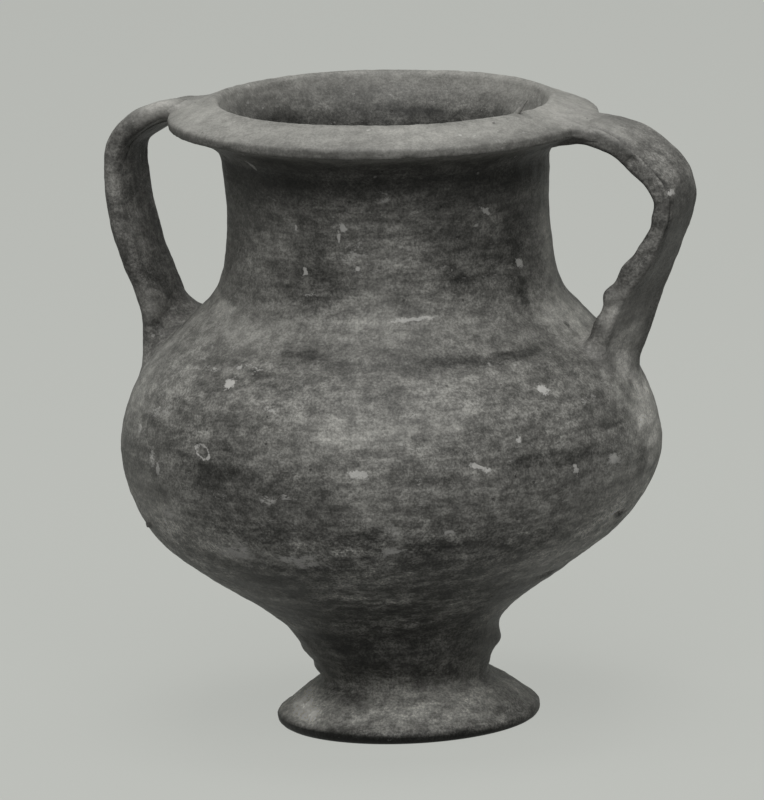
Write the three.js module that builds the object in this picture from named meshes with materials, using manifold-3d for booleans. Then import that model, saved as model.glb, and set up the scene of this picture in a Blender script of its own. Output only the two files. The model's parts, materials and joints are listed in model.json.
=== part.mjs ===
// Amphoriskos: a small two-handled jar of fired clay, as the pieces that a potter throws, pulls and
// lutes together. Millimetres, +Z up. The origin is the centre of the foot's resting face, and +X
// points at the right handle.
import * as THREE from "three";
import { mergeVertices } from "three/addons/utils/BufferGeometryUtils.js";
import Module from "manifold-3d";

const wasm = await Module();
wasm.setup();

// Clay wall and the room left in every luted seam
const WALL = 4.6;
const SEAM = 0.3;
const SEAM_RIDGE = 1.8;
const TURN_STEPS = 40;

// Outside of the jar from the stem seam up to the lip seam, as radius and height
const WALL_STATIONS = [
  [21.4, 20.5],
  [27.9, 26],
  [38.2, 33],
  [49.8, 43],
  [55.3, 57],
  [50.9, 73],
  [41.5, 83],
  [35.2, 90.5],
  [33, 104],
  [33.5, 117],
];
const BELLY_SEAM_HEIGHT = 44;
const NECK_SEAM_HEIGHT = 90.5;
const BOWL_FLOOR_HEIGHT = 23;

// Lip: a flaring ring whose top slopes down from the mouth to its outer edge
const JAR_HEIGHT = 129.2;
const MOUTH_RADIUS = 33.6;
const CREST_RADIUS = 34.6;
const LIP_RADIUS = 43.8;
const LIP_EDGE_TOP = 125.7;
const LIP_EDGE_BOTTOM = 123.6;
const LIP_CORNER = 0.6;
const CREST_ROUND = 0.8;
const LIP_UNDERSIDE_REACH = 5.5;
const LIP_UNDERSIDE_FALL = 1.4;
const LIP_FLARE_RISE = 3;
const MOUTH_FLARE_RISE = 4;

// Stem and foot disc, joined by a tapered spigot in a socket at each end of the stem
const STEM_TOP_RADIUS = 21.3;
const STEM_WAIST_RADIUS = 17.3;
const STEM_WAIST_SWELL = 0.8;
const STEM_WAIST_RISE = 3;
const STEM_SHOULDER_RISE = 7.2;
const STEM_FOOT_SEAM_HEIGHT = 9.4;
const FOOT_RADIUS = 27;
const FOOT_REST_RADIUS = 25.6;
const FOOT_EDGE_HEIGHT = 1.8;
const FOOT_EDGE_ROUND = 1.8;
const FOOT_TOP_DIP = 2.8;
const FOOT_TOP_REACH = 4;
const SPIGOT_ROOT_RADIUS = 10.5;
const SPIGOT_TIP_RADIUS = 9;
const SPIGOT_LENGTH = 4;

// Strap handles: distance from the jar's axis, height and thickness at each station
const STRAP_WIDTH = 15;
const STRAP_CORNER = 1.1;
const STRAP_FRONT_THICKNESS = 4;
const RIGHT_HANDLE_STATIONS = [
  [36, 123.2, 3.4],
  [45.7, 123.8, 4.4],
  [54.7, 119.8, 6.2],
  [60.9, 111.2, 5.4],
  [57.1, 100, 5.4],
  [51.3, 88.7, 8.2],
  [45.5, 72.1, 8.4],
];
const LEFT_HANDLE_STATIONS = [
  [38.2, 124, 3],
  [44.1, 125, 6],
  [54.7, 119.2, 5.2],
  [55.9, 108.3, 6.1],
  [53.2, 95.9, 6],
  [48.6, 84.3, 6.2],
  [47.1, 74.7, 8],
  [45.8, 64.3, 5.5],
];

// Luting pads pressed round the handle ends: place, half sizes out from the wall, across and along it,
// and the slope of the wall there; one has a wad of clay left in the handle's crotch
const PADS = {
  right_handle_top_pad: { side: 1, rho: 43.8, height: 124.4, out: 6, across: 11, along: 4.6, lean: 0 },
  right_handle_root_pad: { side: 1, rho: 46.6, height: 80.2, out: 4, across: 11, along: 9, lean: 0.8 },
  left_handle_top_pad: { side: -1, rho: 43.4, height: 124.9, out: 5, across: 10.6, along: 4.8, lean: 0 },
  left_handle_root_pad: {
    side: -1, rho: 46.4, height: 79.4, out: 4, across: 11, along: 9, lean: 0.75,
    wad: { rho: 41.6, height: 85.4, radius: 3.4, across: 6.5 },
  },
};

// The jar stands askew: above the stem its axis leaves the foot's axis by sideways steps, each spread
// over a height range, and from the belly upwards it dips towards the right handle
const LEAN_AZIMUTH = THREE.MathUtils.degToRad(18);
const LEAN_STEPS = [
  { shift: -2.7, from: 6, to: 25 },
  { shift: 1.5, from: 34, to: 60 },
  { shift: 1.4, from: 60, to: 104 },
];
const DIP_SLOPE = 0.0284;
const DIP_FROM = 32;
const DIP_TO = 60;

const FINISHES = {
  thrown_clay: new THREE.MeshStandardMaterial({ color: 0x8b8a84, roughness: 0.72, metalness: 0 }),
  pulled_clay: new THREE.MeshStandardMaterial({ color: 0x7d7c76, roughness: 0.78, metalness: 0 }),
  luting_clay: new THREE.MeshStandardMaterial({ color: 0x73726c, roughness: 0.84, metalness: 0 }),
};

const wallCurve = new THREE.CatmullRomCurve3(
  WALL_STATIONS.map(([radius, height]) => new THREE.Vector3(radius, height, 0)),
);

// A point at a share of the way up the wall, some depth into the clay and some way along the wall
function wallPoint(share, depth = 0, along = 0) {
  const point = wallCurve.getPointAt(share);
  const run = wallCurve.getTangentAt(share);
  return new THREE.Vector2(
    point.x - run.y * depth + run.x * along,
    point.y + run.x * depth + run.y * along,
  );
}

// The share of the way up the wall at which it reaches a height
function shareAtHeight(height) {
  let low = 0;
  let high = 1;
  while (high - low > 1e-6) {
    const middle = (low + high) / 2;
    if (wallCurve.getPointAt(middle).y < height) {
      low = middle;
    } else {
      high = middle;
    }
  }
  return low;
}

// One side of a ridged seam across the wall, from the outside in
function seamFace(share, offset) {
  return [
    wallPoint(share, 0, offset),
    wallPoint(share, WALL / 2, SEAM_RIDGE + offset),
    wallPoint(share, WALL, offset),
  ];
}

// Points along the wall strictly between two shares, at a depth into the clay
function wallRun(from, to, steps, depth) {
  const points = [];
  for (let step = 1; step < steps; step += 1) {
    points.push(wallPoint(THREE.MathUtils.lerp(from, to, step / steps), depth));
  }
  return points;
}

function solidFrom(geometry) {
  const bare = geometry.clone();
  bare.deleteAttribute("normal");
  bare.deleteAttribute("uv");
  const merged = mergeVertices(bare, 1e-4);
  const corners = merged.getIndex().array;
  const kept = [];
  for (let first = 0; first < corners.length; first += 3) {
    const [a, b, c] = corners.slice(first, first + 3);
    if (a !== b && b !== c && c !== a) {
      kept.push(a, b, c);
    }
  }
  return new wasm.Manifold(new wasm.Mesh({
    numProp: 3,
    vertProperties: new Float32Array(merged.getAttribute("position").array),
    triVerts: new Uint32Array(kept),
  }));
}

// A turned piece: its outline spun about the jar's axis
function turned(outline) {
  const geometry = new THREE.LatheGeometry(outline, TURN_STEPS);
  geometry.rotateX(Math.PI / 2);
  return solidFrom(geometry);
}

// A ring of the wall between two ridged seams
function wallRing(lowHeight, highHeight, steps) {
  const low = shareAtHeight(lowHeight);
  const high = shareAtHeight(highHeight);
  const bottom = seamFace(low, SEAM / 2);
  const outline = [
    bottom[0],
    ...wallRun(low, high, steps, 0),
    ...seamFace(high, -SEAM / 2),
    ...wallRun(low, high, steps, WALL).reverse(),
    bottom[2],
    bottom[1],
    bottom[0],
  ];
  return turned(outline);
}

function bowl() {
  const seamShare = shareAtHeight(BELLY_SEAM_HEIGHT);
  const steps = 6;
  const under = WALL_STATIONS[0][1] + SEAM / 2;
  const outline = [
    new THREE.Vector2(0, under - SPIGOT_LENGTH),
    new THREE.Vector2(SPIGOT_TIP_RADIUS, under - SPIGOT_LENGTH),
    new THREE.Vector2(SPIGOT_ROOT_RADIUS, under),
    new THREE.Vector2(WALL_STATIONS[0][0], under),
    ...wallRun(0, seamShare, steps, 0),
    ...seamFace(seamShare, -SEAM / 2),
    ...wallRun(0, seamShare, steps, WALL).reverse(),
    wallPoint(0, WALL),
    new THREE.Vector2(0, BOWL_FLOOR_HEIGHT),
  ];
  return turned(outline);
}

// Outside of the lip from its seam with the neck to the crest round the mouth
function lipOutside() {
  const seam = wallPoint(1, 0, SEAM / 2);
  const edge = LIP_RADIUS - LIP_CORNER;
  const crest = new THREE.Vector2(CREST_RADIUS + CREST_ROUND, JAR_HEIGHT - CREST_ROUND / 3);
  const slope = (crest.y - LIP_EDGE_TOP) / (LIP_RADIUS - crest.x);
  return new THREE.Path()
    .moveTo(seam.x, seam.y)
    .bezierCurveTo(
      seam.x, seam.y + LIP_FLARE_RISE, LIP_RADIUS - LIP_UNDERSIDE_REACH, LIP_EDGE_BOTTOM - LIP_UNDERSIDE_FALL,
      edge, LIP_EDGE_BOTTOM,
    )
    .quadraticCurveTo(LIP_RADIUS, LIP_EDGE_BOTTOM, LIP_RADIUS, LIP_EDGE_BOTTOM + LIP_CORNER)
    .lineTo(LIP_RADIUS, LIP_EDGE_TOP - LIP_CORNER)
    .quadraticCurveTo(LIP_RADIUS, LIP_EDGE_TOP, edge, LIP_EDGE_TOP + LIP_CORNER * slope)
    .lineTo(crest.x, crest.y)
    .quadraticCurveTo(CREST_RADIUS, JAR_HEIGHT + CREST_ROUND / 3, MOUTH_RADIUS, JAR_HEIGHT - CREST_ROUND)
    .getPoints(4);
}

function lip() {
  const [outer, ridge, inner] = seamFace(1, SEAM / 2);
  const inside = new THREE.Path()
    .moveTo(MOUTH_RADIUS, JAR_HEIGHT - CREST_ROUND)
    .bezierCurveTo(
      MOUTH_RADIUS - CREST_ROUND, JAR_HEIGHT - MOUTH_FLARE_RISE, inner.x, inner.y + MOUTH_FLARE_RISE,
      inner.x, inner.y,
    )
    .getPoints(5);
  return turned([...lipOutside(), ...inside.slice(1), ridge, outer]);
}

function stem() {
  const top = WALL_STATIONS[0][1] - SEAM / 2;
  const bottom = STEM_FOOT_SEAM_HEIGHT + SEAM / 2;
  const outside = new THREE.SplineCurve([
    new THREE.Vector2(STEM_WAIST_RADIUS, bottom),
    new THREE.Vector2(STEM_WAIST_RADIUS + STEM_WAIST_SWELL, bottom + STEM_WAIST_RISE),
    new THREE.Vector2(STEM_TOP_RADIUS - STEM_WAIST_SWELL, bottom + STEM_SHOULDER_RISE),
    new THREE.Vector2(STEM_TOP_RADIUS, top),
  ]);
  return turned([
    new THREE.Vector2(0, bottom - SPIGOT_LENGTH),
    new THREE.Vector2(SPIGOT_TIP_RADIUS, bottom - SPIGOT_LENGTH),
    new THREE.Vector2(SPIGOT_ROOT_RADIUS, bottom),
    ...outside.getPoints(7),
    new THREE.Vector2(SPIGOT_ROOT_RADIUS + SEAM, top),
    new THREE.Vector2(SPIGOT_TIP_RADIUS + SEAM, top - SPIGOT_LENGTH),
    new THREE.Vector2(0, top - SPIGOT_LENGTH),
  ]);
}

function foot() {
  const top = STEM_FOOT_SEAM_HEIGHT - SEAM / 2;
  const rim = new THREE.Path()
    .moveTo(FOOT_REST_RADIUS, 0)
    .quadraticCurveTo(FOOT_RADIUS, 0, FOOT_RADIUS, FOOT_EDGE_HEIGHT)
    .quadraticCurveTo(
      FOOT_RADIUS, FOOT_EDGE_HEIGHT + FOOT_EDGE_ROUND / 2,
      FOOT_RADIUS - FOOT_EDGE_ROUND, FOOT_EDGE_HEIGHT + FOOT_EDGE_ROUND,
    )
    .quadraticCurveTo(STEM_WAIST_RADIUS + FOOT_TOP_REACH, top - FOOT_TOP_DIP, STEM_WAIST_RADIUS, top)
    .getPoints(4);
  return turned([
    new THREE.Vector2(0, 0),
    ...rim,
    new THREE.Vector2(SPIGOT_ROOT_RADIUS + SEAM, top),
    new THREE.Vector2(SPIGOT_TIP_RADIUS + SEAM, top - SPIGOT_LENGTH),
    new THREE.Vector2(0, top - SPIGOT_LENGTH),
  ]);
}

// An outline with every point moved outwards by a margin
function grown(outline, margin) {
  return outline.map((point, index) => {
    const before = outline[Math.max(index - 1, 0)];
    const after = outline[Math.min(index + 1, outline.length - 1)];
    const run = after.clone().sub(before).normalize();
    return new THREE.Vector2(point.x + run.y * margin, point.y - run.x * margin);
  });
}

// The jar with its mouth filled in and a seam's room added, which the handles and pads are cut to
function jarClearance() {
  const steps = 24;
  const outside = grown([wallPoint(0), ...wallRun(0, 1, steps, 0), wallPoint(1), ...lipOutside()], SEAM);
  return turned([
    new THREE.Vector2(0, outside[0].y),
    ...outside,
    new THREE.Vector2(0, outside.at(-1).y),
  ]);
}

// Where a coordinate of the unit section, with corners of radius 1 round (1, 1), lies on the strap
function strapOffset(coordinate, half, margin) {
  const corner = Math.sign(coordinate);
  return corner * (half - STRAP_CORNER) + (coordinate - corner) * (STRAP_CORNER + margin);
}

// A straight bar of square section with rounded corners, whose flat sides and corners are then given the
// strap's sizes as it is bent along a handle's stations. The strap thins towards its front edge, on the outer
// face of the right handle and the inner face of the left one.
function strap(stations, side, margin) {
  const section = new THREE.Shape();
  for (const [x, y, turn] of [[1, 1, 0], [-1, 1, 0.5], [-1, -1, 1], [1, -1, 1.5]]) {
    section.absarc(x, y, 1, turn * Math.PI, (turn + 0.5) * Math.PI);
  }
  const bar = new THREE.ExtrudeGeometry(section, {
    depth: 1,
    steps: 24,
    curveSegments: 3,
    bevelEnabled: false,
  });
  const line = new THREE.CatmullRomCurve3(
    stations.map(([rho, height, thickness]) => new THREE.Vector3(rho, height, thickness)),
  );
  const corners = bar.getAttribute("position");
  for (let index = 0; index < corners.count; index += 1) {
    const share = THREE.MathUtils.clamp(corners.getZ(index), 0, 1);
    const middle = line.getPointAt(share);
    const run = line.getTangentAt(share);
    const length = Math.hypot(run.x, run.y);
    const across = strapOffset(corners.getX(index), STRAP_WIDTH / 2, margin);
    const thinned = corners.getX(index) * side < 0 && corners.getY(index) * side > 0;
    const spare = thinned ? side * Math.max(middle.z - STRAP_FRONT_THICKNESS, 0) : 0;
    const rise = strapOffset(corners.getY(index), middle.z / 2, margin) - spare;
    corners.setXYZ(
      index,
      side * (middle.x - (run.y / length) * rise),
      side * across,
      middle.y + (run.x / length) * rise,
    );
  }
  return solidFrom(bar);
}

function pad({ side, rho, height, out, across, along, lean, wad }, strapWithRoom, clearance) {
  const lump = new THREE.SphereGeometry(1, 18, 10);
  lump.scale(out, across, along);
  lump.rotateY(-lean * side);
  lump.translate(rho * side, 0, height);
  let clay = solidFrom(lump);
  if (wad) {
    const ball = new THREE.SphereGeometry(wad.radius, 14, 8);
    ball.scale(1, wad.across / wad.radius, 1);
    ball.translate(wad.rho * side, 0, wad.height);
    clay = clay.add(solidFrom(ball));
  }
  return clay.subtract(strapWithRoom).subtract(clearance);
}

// How far the jar's axis stands from the foot's axis at a height
function leanShift(height) {
  return LEAN_STEPS.reduce(
    (sum, { shift, from, to }) => sum + shift * THREE.MathUtils.smoothstep(height, from, to),
    0,
  );
}

function leaned(solid) {
  const direction = new THREE.Vector2(Math.cos(LEAN_AZIMUTH), Math.sin(LEAN_AZIMUTH));
  return solid.warp((corner) => {
    const height = corner[2];
    const shift = leanShift(height);
    corner[2] -= corner[0] * DIP_SLOPE * THREE.MathUtils.smoothstep(height, DIP_FROM, DIP_TO);
    corner[0] += direction.x * shift;
    corner[1] += direction.y * shift;
  });
}

function piece(name, finish, solid) {
  const mesh = leaned(solid).getMesh();
  const geometry = new THREE.BufferGeometry();
  geometry.setAttribute("position", new THREE.BufferAttribute(new Float32Array(mesh.vertProperties), 3));
  geometry.setIndex(new THREE.BufferAttribute(new Uint32Array(mesh.triVerts), 1));
  geometry.computeVertexNormals();
  const part = new THREE.Mesh(geometry, FINISHES[finish]);
  part.name = name;
  return part;
}

const clearance = jarClearance();
const rightRoom = strap(RIGHT_HANDLE_STATIONS, 1, SEAM);
const leftRoom = strap(LEFT_HANDLE_STATIONS, -1, SEAM);

const amphoriskos = new THREE.Group();
amphoriskos.name = "amphoriskos";
amphoriskos.add(
  piece("foot", "thrown_clay", foot()),
  piece("stem", "thrown_clay", stem()),
  piece("bowl", "thrown_clay", bowl()),
  piece("shoulder", "thrown_clay", wallRing(BELLY_SEAM_HEIGHT, NECK_SEAM_HEIGHT, 10)),
  piece("neck", "thrown_clay", wallRing(NECK_SEAM_HEIGHT, WALL_STATIONS.at(-1)[1], 5)),
  piece("lip", "thrown_clay", lip()),
  piece("right_handle", "pulled_clay", strap(RIGHT_HANDLE_STATIONS, 1, 0).subtract(clearance)),
  piece("left_handle", "pulled_clay", strap(LEFT_HANDLE_STATIONS, -1, 0).subtract(clearance)),
);
for (const [name, place] of Object.entries(PADS)) {
  amphoriskos.add(piece(name, "luting_clay", pad(place, place.side > 0 ? rightRoom : leftRoom, clearance)));
}

export default amphoriskos;
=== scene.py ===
"""Dresses a small two-handled jar of fired clay: its thrown wall, strap handles and luted joints.

Shapes are worked in millimetres in the jar's own upright frame, then set askew as the jar stands and
scaled to metres when each piece is finished.
"""

import itertools
import json
import logging
import math
from collections.abc import Iterable, Sequence
from dataclasses import dataclass, field
from enum import Enum
from functools import cached_property

import bmesh
import bpy
import numpy as np
from mathutils import Matrix, Vector


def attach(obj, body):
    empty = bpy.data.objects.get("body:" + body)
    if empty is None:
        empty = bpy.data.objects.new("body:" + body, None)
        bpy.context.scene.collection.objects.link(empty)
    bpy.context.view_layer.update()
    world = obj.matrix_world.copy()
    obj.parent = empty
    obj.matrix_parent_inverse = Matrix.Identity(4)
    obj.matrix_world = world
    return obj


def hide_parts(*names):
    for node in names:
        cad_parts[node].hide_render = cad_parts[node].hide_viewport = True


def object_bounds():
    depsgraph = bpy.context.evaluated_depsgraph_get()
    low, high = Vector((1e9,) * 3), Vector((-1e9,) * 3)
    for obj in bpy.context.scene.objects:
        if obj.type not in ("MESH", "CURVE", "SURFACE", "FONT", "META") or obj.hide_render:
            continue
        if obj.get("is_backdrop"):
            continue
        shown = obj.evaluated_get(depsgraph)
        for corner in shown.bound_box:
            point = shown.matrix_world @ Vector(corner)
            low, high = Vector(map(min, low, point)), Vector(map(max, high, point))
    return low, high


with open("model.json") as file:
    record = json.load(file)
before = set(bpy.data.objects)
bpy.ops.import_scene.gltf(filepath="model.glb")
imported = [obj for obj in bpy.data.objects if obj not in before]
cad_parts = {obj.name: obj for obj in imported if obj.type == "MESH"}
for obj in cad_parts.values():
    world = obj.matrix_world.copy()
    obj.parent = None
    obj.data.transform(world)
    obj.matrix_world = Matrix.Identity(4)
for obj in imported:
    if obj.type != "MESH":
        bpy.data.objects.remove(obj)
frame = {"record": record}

LOG = logging.getLogger("amphoriskos")
MM = 0.001
BODY = "root"
IMAGE_HEIGHT = 800
TURN_STEPS = 480
SECTORS = 16
CORNER_STEPS = 16
ROUND_STEPS = 30
SWEEP_STEPS = 60
FLARE_STEPS = 80
INSIDE_SAMPLES = 400
FINE_SPACING = 0.05
LIP_SPACING = 0.1
WALL_SPACING = 0.2
MERGE_DISTANCE = 1e-4
FLAT_DISTANCE = 1e-5


class Slot(Enum):
    """The record's material slots."""

    THROWN = "thrown_clay"
    PULLED = "pulled_clay"
    LUTING = "luting_clay"


class Side(Enum):
    """The side of the jar that a handle stands on, as the sign of its X."""

    RIGHT = 1
    LEFT = -1


class HandleEnd(Enum):
    """The two ends of a handle."""

    TOP = "top"
    ROOT = "root"


class Falloff(Enum):
    """How a patch fades from its middle to its edge."""

    SOFT = "soft"
    CRISP = "crisp"
    POINTED = "pointed"


class Grain(Enum):
    """What the streaks in a clay follow: the wheel, the pull along a strap, or nothing."""

    WHEEL = "wheel"
    PULL = "pull"
    SMEAR = "smear"


def smoothstep(value: np.ndarray, low: float, high: float) -> np.ndarray:
    """Rises smoothly from 0 at low to 1 at high."""
    share = np.clip((value - low) / (high - low), 0.0, 1.0)
    return share * share * (3.0 - 2.0 * share)


def bezier(points: Sequence[Sequence[float]], steps: int) -> np.ndarray:
    """Samples a Bezier curve of any degree.

    Args:
        points: Its control points.
        steps: How many steps to take along it.

    Returns:
        The points along the curve, both ends included.
    """
    share = np.linspace(0.0, 1.0, steps + 1)[:, None]
    degree = len(points) - 1
    return sum(
        math.comb(degree, index) * share**index * (1 - share) ** (degree - index) * np.array(point, float)
        for index, point in enumerate(points)
    )


def rounded_corner(first: np.ndarray, second: np.ndarray, reach: float) -> tuple[np.ndarray, np.ndarray]:
    """Rounds the corner where one line ends and the next begins.

    Args:
        first: Points of the line that ends there.
        second: Points of the line that begins there.
        reach: How far from the corner the rounding starts, in mm.

    Returns:
        Both lines, which now meet in the middle of the rounding.
    """
    first, second = evenly(first, FINE_SPACING), evenly(second, FINE_SPACING)
    count = round(reach / FINE_SPACING)
    bend = bezier([first[-1 - count], first[-1], second[count]], 2 * count)
    return np.vstack([first[: -1 - count], bend[: count + 1]]), np.vstack([bend[count:], second[count + 1 :]])


def evenly(line: np.ndarray, spacing: float) -> np.ndarray:
    """Takes points from a line at an even spacing.

    Args:
        line: Points close together along the line.
        spacing: The wanted distance between points, in mm.

    Returns:
        The points, with both ends of the line kept.
    """
    steps = np.linalg.norm(np.diff(line, axis=0), axis=1)
    run = np.concatenate([[0.0], np.cumsum(steps)])
    stops = np.linspace(0.0, run[-1], max(2, round(run[-1] / spacing) + 1))
    return np.stack([np.interp(stops, run, column) for column in line.T], -1)


def unit(vectors: np.ndarray) -> np.ndarray:
    """Scales each vector to a length of one."""
    return vectors / np.maximum(np.linalg.norm(vectors, axis=-1, keepdims=True), 1e-9)


class SmoothNoise:
    """Gradient noise, which weathers the clay alike in every run."""

    LATTICE = 256
    GAIN = 1.7

    def __init__(self, seed: int) -> None:
        """Draws the noise's lattice.

        Args:
            seed: Chooses the lattice.
        """
        chance = np.random.default_rng(seed)
        self.order = chance.permutation(self.LATTICE)
        self.slopes = unit(chance.normal(size=(self.LATTICE, 3)))

    def at(self, points: np.ndarray, size: float | Sequence[float]) -> np.ndarray:
        """Reads noise between about -1 and 1.

        Args:
            points: Places in mm.
            size: Size of the noise's lumps in mm, one for all axes or one for each.

        Returns:
            The noise at each place.
        """
        scaled = points / np.array(size, float)
        cell = np.floor(scaled).astype(int)
        part = scaled - cell
        ease = part**3 * (part * (part * 6.0 - 15.0) + 10.0)
        total = np.zeros(len(points))
        last = self.LATTICE - 1
        for corner in itertools.product((0, 1), repeat=3):
            x, y, z = ((cell + corner) & last).T
            slope = self.slopes[self.order[(self.order[(self.order[x] + y) & last] + z) & last]]
            weight = np.where(corner, ease, 1.0 - ease).prod(1)
            total += weight * (slope * (part - corner)).sum(1)
        return self.GAIN * total


NOISE = SmoothNoise(7)


@dataclass(frozen=True)
class SmoothLine:
    """A centripetal Catmull-Rom line, read by its share of length.

    Attributes:
        stations: Points that the line passes through.
        samples: Points that each span is read at.
    """

    stations: tuple[tuple[float, ...], ...]
    samples: int = 200

    @cached_property
    def points(self) -> np.ndarray:
        """Points close together along the whole line."""
        knots = np.array(self.stations, float)
        knots = np.vstack([2 * knots[0] - knots[1], knots, 2 * knots[-1] - knots[-2]])
        share = np.linspace(0.0, 1.0, self.samples, endpoint=False)[:, None]
        spans = []
        for before, start, end, after in zip(knots, knots[1:], knots[2:], knots[3:]):
            first = math.sqrt(np.linalg.norm(start - before))
            middle = math.sqrt(np.linalg.norm(end - start))
            last = math.sqrt(np.linalg.norm(after - end))
            chord = (end - start) / middle
            leave = ((start - before) / first - (end - before) / (first + middle) + chord) * middle
            arrive = (chord - (after - start) / (middle + last) + (after - end) / last) * middle
            spans.append(
                (2 * share**3 - 3 * share**2 + 1) * start
                + (share**3 - 2 * share**2 + share) * leave
                + (3 * share**2 - 2 * share**3) * end
                + (share**3 - share**2) * arrive
            )
        return np.vstack([*spans, knots[-2]])

    @cached_property
    def shares(self) -> np.ndarray:
        """The share of the line's length that lies before each point."""
        run = np.concatenate([[0.0], np.cumsum(np.linalg.norm(np.diff(self.points, axis=0), axis=1))])
        return run / run[-1]

    @cached_property
    def length(self) -> float:
        """The line's length in its first two coordinates, in mm."""
        return float(np.linalg.norm(np.diff(self.points[:, :2], axis=0), axis=1).sum())

    def at(self, share: np.ndarray | float) -> np.ndarray:
        """The point at a share of the length."""
        return np.stack([np.interp(share, self.shares, column) for column in self.points.T], -1)

    def run(self, share: np.ndarray | float) -> np.ndarray:
        """The direction of the line's first two coordinates at a share of the length."""
        step = 1e-3
        ahead = self.at(np.minimum(np.asarray(share) + step, 1.0))
        behind = self.at(np.maximum(np.asarray(share) - step, 0.0))
        return unit((ahead - behind)[..., :2])


@dataclass(frozen=True)
class Stance:
    """How the jar stands askew on its foot.

    Attributes:
        azimuth: The way that the jar's axis leaves the foot's, in degrees from +X.
        steps: Sideways steps of the axis: shift, and the heights that it is spread over, in mm.
        dip: Fall per mm towards the right handle.
        dip_range: Heights between which the dip sets in, in mm.
    """

    azimuth: float = 18.0
    steps: tuple[tuple[float, float, float], ...] = ((-2.7, 6.0, 25.0), (1.5, 34.0, 60.0), (1.4, 60.0, 104.0))
    dip: float = 0.0284
    dip_range: tuple[float, float] = (32.0, 60.0)

    def place(self, points: np.ndarray) -> np.ndarray:
        """Moves upright points to where the askew jar has them."""
        way = np.array([math.cos(math.radians(self.azimuth)), math.sin(math.radians(self.azimuth))])
        height = points[:, 2]
        shift = sum(step * smoothstep(height, low, high) for step, low, high in self.steps)
        placed = points.copy()
        placed[:, :2] += shift[:, None] * way
        placed[:, 2] -= points[:, 0] * self.dip * smoothstep(height, *self.dip_range)
        return placed


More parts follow.
